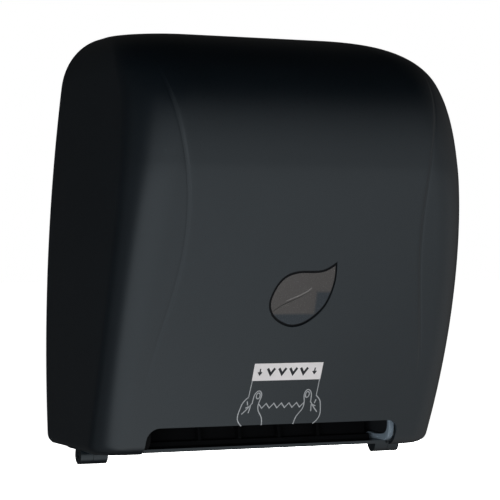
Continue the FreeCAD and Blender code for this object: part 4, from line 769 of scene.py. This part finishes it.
lens = make_lens()
for material in (MATERIALS["lens"], LENS_RIM_SHADE, LENS_GLINT, LENS_VEIN_SHADE):
    lens.data.materials.append(material)
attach(lens, "cover")
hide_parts("window_lens")

sign = make_sign()
for material in (WHITE_PRINT, BLACK_PRINT, GREY_PRINT):
    sign.data.materials.append(material)
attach(sign, "cover")

for side, word in ((1, "right"), (-1, "left")):
    guide = make_guide(side)
    # painted shade: the left hook takes the outlet's near-black, the right one its blue-grey moulding
    guide.data.materials.append(MATERIALS["guide_plastic"] if side > 0 else OUTLET_SHADE)
    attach(guide, "chassis")
    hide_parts("outlet_guide_" + word)

comb = make_comb()
comb.data.materials.clear()
comb.data.materials.append(OUTLET_SHADE)
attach(comb, "chassis")
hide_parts("stripper_comb")

# ------------------------------------------------------------------ floor, light and camera
# brightness of the mirrored studio by the angle in degrees from straight ahead, to the part's right positive
STUDIO_ROUND = [(-180, 0.03), (-130, 0.03), (-112, 0.13), (-84, 0.15), (-68, 0.28), (-52, 0.96),
                (-20, 1.0), (10, 0.88), (22, 0.80), (32, 0.60), (66, 0.52), (88, 0.34), (110, 0.18),
                (135, 0.04), (180, 0.03)]
STUDIO_LEVEL = 1.07
STUDIO_TOP = 0.80               # sine of the elevation above which gloss sees no light


def seen_by(nodes, links, *rays):
    """1 for the named kinds of ray, 0 for the rest."""
    light_path = nodes.new("ShaderNodeLightPath")
    output = light_path.outputs[rays[0]]
    for name in rays[1:]:
        either = nodes.new("ShaderNodeMath")
        either.operation = "MAXIMUM"
        links.new(output, either.inputs[0])
        links.new(light_path.outputs[name], either.inputs[1])
        output = either.outputs[0]
    return output


def spread_over(nodes, links, source, start, end, low, high):
    """Value that goes smoothly from low, where the source is at start, to high, where it is at end."""
    span = nodes.new("ShaderNodeMapRange")
    span.interpolation_type = "SMOOTHSTEP"
    span.inputs["From Min"].default_value = start
    span.inputs["From Max"].default_value = end
    span.inputs["To Min"].default_value = low
    span.inputs["To Max"].default_value = high
    links.new(source, span.inputs["Value"])
    return span.outputs["Result"]


def mirrored_studio(nodes, links, x, y):
    """What gloss sees round about: a wide white front, darker beyond its left end and behind the part."""
    turn = worked_out(nodes, links, "ARCTAN2", x, worked_out(nodes, links, "MULTIPLY", y, -1.0))
    share = worked_out(nodes, links, "ADD", worked_out(nodes, links, "MULTIPLY", turn, 0.5 / pi), 0.5)
    ramp = nodes.new("ShaderNodeValToRGB")
    links.new(share, ramp.inputs["Fac"])
    stops = ramp.color_ramp.elements
    while len(stops) > 1:
        stops.remove(stops[-1])
    for index, (angle, bright) in enumerate(STUDIO_ROUND):
        place_on_ramp = (angle + 180) / 360
        stop = stops[0] if index == 0 else stops.new(place_on_ramp)
        stop.position = place_on_ramp
        stop.color = (bright, bright, bright, 1.0)
    return worked_out(nodes, links, "MULTIPLY", ramp.outputs["Color"], STUDIO_LEVEL)


FLOOR_HEIGHT = -205.0           # the part hangs above it, so that the opened cover clears it
FLOOR_GLOW = (0.80, 1.0)        # for the camera, near the part and far from it
GLOW_BAND = (0.5, 1.6)          # metres from the part, from near to far
FLOOR_IN_GLOSS = (0.40, 1.12)   # beside the part and clear of it: the lower glow beside the part is a painted shadow of the part on the floor, as gloss sees it
GLOSS_BAND = (0.06, 0.13)       # metres from the part, from beside it to clear of it
GLOSS_NARROWING = 0.75          # the mirrored studio on the floor is drawn together by this
GLOSS_SHIFT = 0.1               # and moved back by this, in metres
FLOOR_REACH = 30.0
floor_mesh = bpy.data.meshes.new("studio_floor")
level = (FLOOR_HEIGHT - ORIGIN_RISE) * MM
corners = [(x * FLOOR_REACH, y * FLOOR_REACH, level) for x, y in ((-1, -1), (1, -1), (1, 1), (-1, 1))]
floor_mesh.from_pydata(corners, [], [(0, 1, 2, 3)])
floor = bpy.data.objects.new("studio_floor", floor_mesh)
bpy.context.scene.collection.objects.link(floor)
floor_material = bpy.data.materials.new("studio_floor")
floor_material.use_nodes = True
nodes, links = floor_material.node_tree.nodes, floor_material.node_tree.links
shader = nodes["Principled BSDF"]
shader.inputs["Base Color"].default_value = (0.85, 0.85, 0.85, 1.0)
shader.inputs["Roughness"].default_value = 0.9
shader.inputs["Specular IOR Level"].default_value = 0.0
shader.inputs["Emission Color"].default_value = (1, 1, 1, 1)
floor_place = nodes.new("ShaderNodeTexCoord")
split = nodes.new("ShaderNodeSeparateXYZ")
distance = nodes.new("ShaderNodeVectorMath")
distance.operation = "LENGTH"
links.new(floor_place.outputs["Object"], split.inputs[0])
links.new(floor_place.outputs["Object"], distance.inputs[0])
far_glow = spread_over(nodes, links, distance.outputs["Value"], *GLOW_BAND, *FLOOR_GLOW)
links.new(worked_out(nodes, links, "MULTIPLY", far_glow, seen_by(nodes, links, "Is Camera Ray")),
          shader.inputs["Emission Strength"])
in_gloss = nodes.new("ShaderNodeEmission")
nearer_middle = worked_out(nodes, links, "MULTIPLY", split.outputs["X"], GLOSS_NARROWING)
from_front = worked_out(nodes, links, "ADD", split.outputs["Y"], GLOSS_SHIFT)
beside = nodes.new("ShaderNodeCombineXYZ")
links.new(nearer_middle, beside.inputs["X"])
links.new(from_front, beside.inputs["Y"])
clear_of_part = nodes.new("ShaderNodeVectorMath")
clear_of_part.operation = "LENGTH"
links.new(beside.outputs["Vector"], clear_of_part.inputs[0])
# painted shadow: the floor's glow in gloss is lower close beside the part
near = spread_over(nodes, links, clear_of_part.outputs["Value"], *GLOSS_BAND, *FLOOR_IN_GLOSS)
links.new(worked_out(nodes, links, "MULTIPLY", near, mirrored_studio(nodes, links, nearer_middle, from_front)),
          in_gloss.inputs["Strength"])
mix = nodes.new("ShaderNodeMixShader")
links.new(seen_by(nodes, links, "Is Glossy Ray", "Is Transmission Ray"), mix.inputs[0])
links.new(shader.outputs[0], mix.inputs[1])
links.new(in_gloss.outputs[0], mix.inputs[2])
links.new(mix.outputs[0], nodes["Material Output"].inputs["Surface"])
floor_material.cycles.emission_sampling = "NONE"
floor_mesh.materials.append(floor_material)

# the world: white for the camera, the mirrored studio for gloss, and for the rest an even fill from low down
FILL_BAND = (0.0, 0.35)         # sine of the elevation, from where the fill is full to where it has faded
FILL_LEVEL = (0.75, 0.02)
world = bpy.data.worlds.new("studio")
bpy.context.scene.world = world
world.use_nodes = True
world.cycles.sampling_method = "NONE"
nodes, links = world.node_tree.nodes, world.node_tree.links
for node in list(nodes):
    nodes.remove(node)
direction = nodes.new("ShaderNodeTexCoord")
split = nodes.new("ShaderNodeSeparateXYZ")
links.new(direction.outputs["Generated"], split.inputs[0])


def background(strength):
    """White background of a strength that is a number or a node's output."""
    shade = nodes.new("ShaderNodeBackground")
    shade.inputs["Color"].default_value = (1, 1, 1, 1)
    if isinstance(strength, float):
        shade.inputs["Strength"].default_value = strength
    else:
        links.new(strength, shade.inputs["Strength"])
    return shade


def blended(factor, low, high):
    mix = nodes.new("ShaderNodeMixShader")
    links.new(factor, mix.inputs[0])
    links.new(low.outputs[0], mix.inputs[1])
    links.new(high.outputs[0], mix.inputs[2])
    return mix


fill = background(spread_over(nodes, links, split.outputs["Z"], *FILL_BAND, *FILL_LEVEL))
fade = nodes.new("ShaderNodeMapRange")
fade.inputs["From Max"].default_value = STUDIO_TOP
fade.inputs["To Min"].default_value = 1.0
fade.inputs["To Max"].default_value = 0.0
links.new(split.outputs["Z"], fade.inputs["Value"])
mirrored = background(worked_out(nodes, links, "MULTIPLY", fade.outputs["Result"],
                                 mirrored_studio(nodes, links, split.outputs["X"], split.outputs["Y"])))
seen_in_gloss = seen_by(nodes, links, "Is Glossy Ray", "Is Transmission Ray")
result = nodes.new("ShaderNodeOutputWorld")
links.new(blended(seen_by(nodes, links, "Is Camera Ray"), blended(seen_in_gloss, fill, mirrored),
                  background(1.0)).outputs[0], result.inputs["Surface"])


def area_light(name, position, target, size, watts):
    """Soft lamp; gloss sees the mirrored studio in its place."""
    data = bpy.data.lights.new(name, "AREA")
    data.shape = "RECTANGLE"
    data.size, data.size_y = size
    data.energy = watts
    lamp = bpy.data.objects.new(name, data)
    bpy.context.scene.collection.objects.link(lamp)
    lamp.location = position
    lamp.rotation_euler = (Vector(target) - Vector(position)).to_track_quat("-Z", "Y").to_euler()
    lamp.visible_camera = False
    lamp.visible_glossy = False


LAMP_TARGET = (0, -0.1, -0.08)
area_light("key", (-1.3, -1.9, -0.35), LAMP_TARGET, (1.6, 0.5), 54)
area_light("rear", (1.3, 1.9, -0.1), LAMP_TARGET, (0.8, 0.6), 28)

CAMERA_PLACE = (-0.7521, -1.7788, -0.0819)
CAMERA_TARGET = (-0.0110, -0.1141, -0.0724)
CAMERA_LENS = 142.38            # mm, on a sensor 36 mm wide
camera_data = bpy.data.cameras.new("camera")
camera_data.lens = CAMERA_LENS
camera_data.sensor_width = 36.0
camera_data.clip_end = 100.0
camera = bpy.data.objects.new("camera", camera_data)
bpy.context.scene.collection.objects.link(camera)
camera.location = CAMERA_PLACE
camera.rotation_euler = (Vector(CAMERA_TARGET) - Vector(CAMERA_PLACE)).to_track_quat("-Z", "Y").to_euler()
bpy.context.scene.camera = camera
bpy.context.scene.view_settings.view_transform = "Standard"
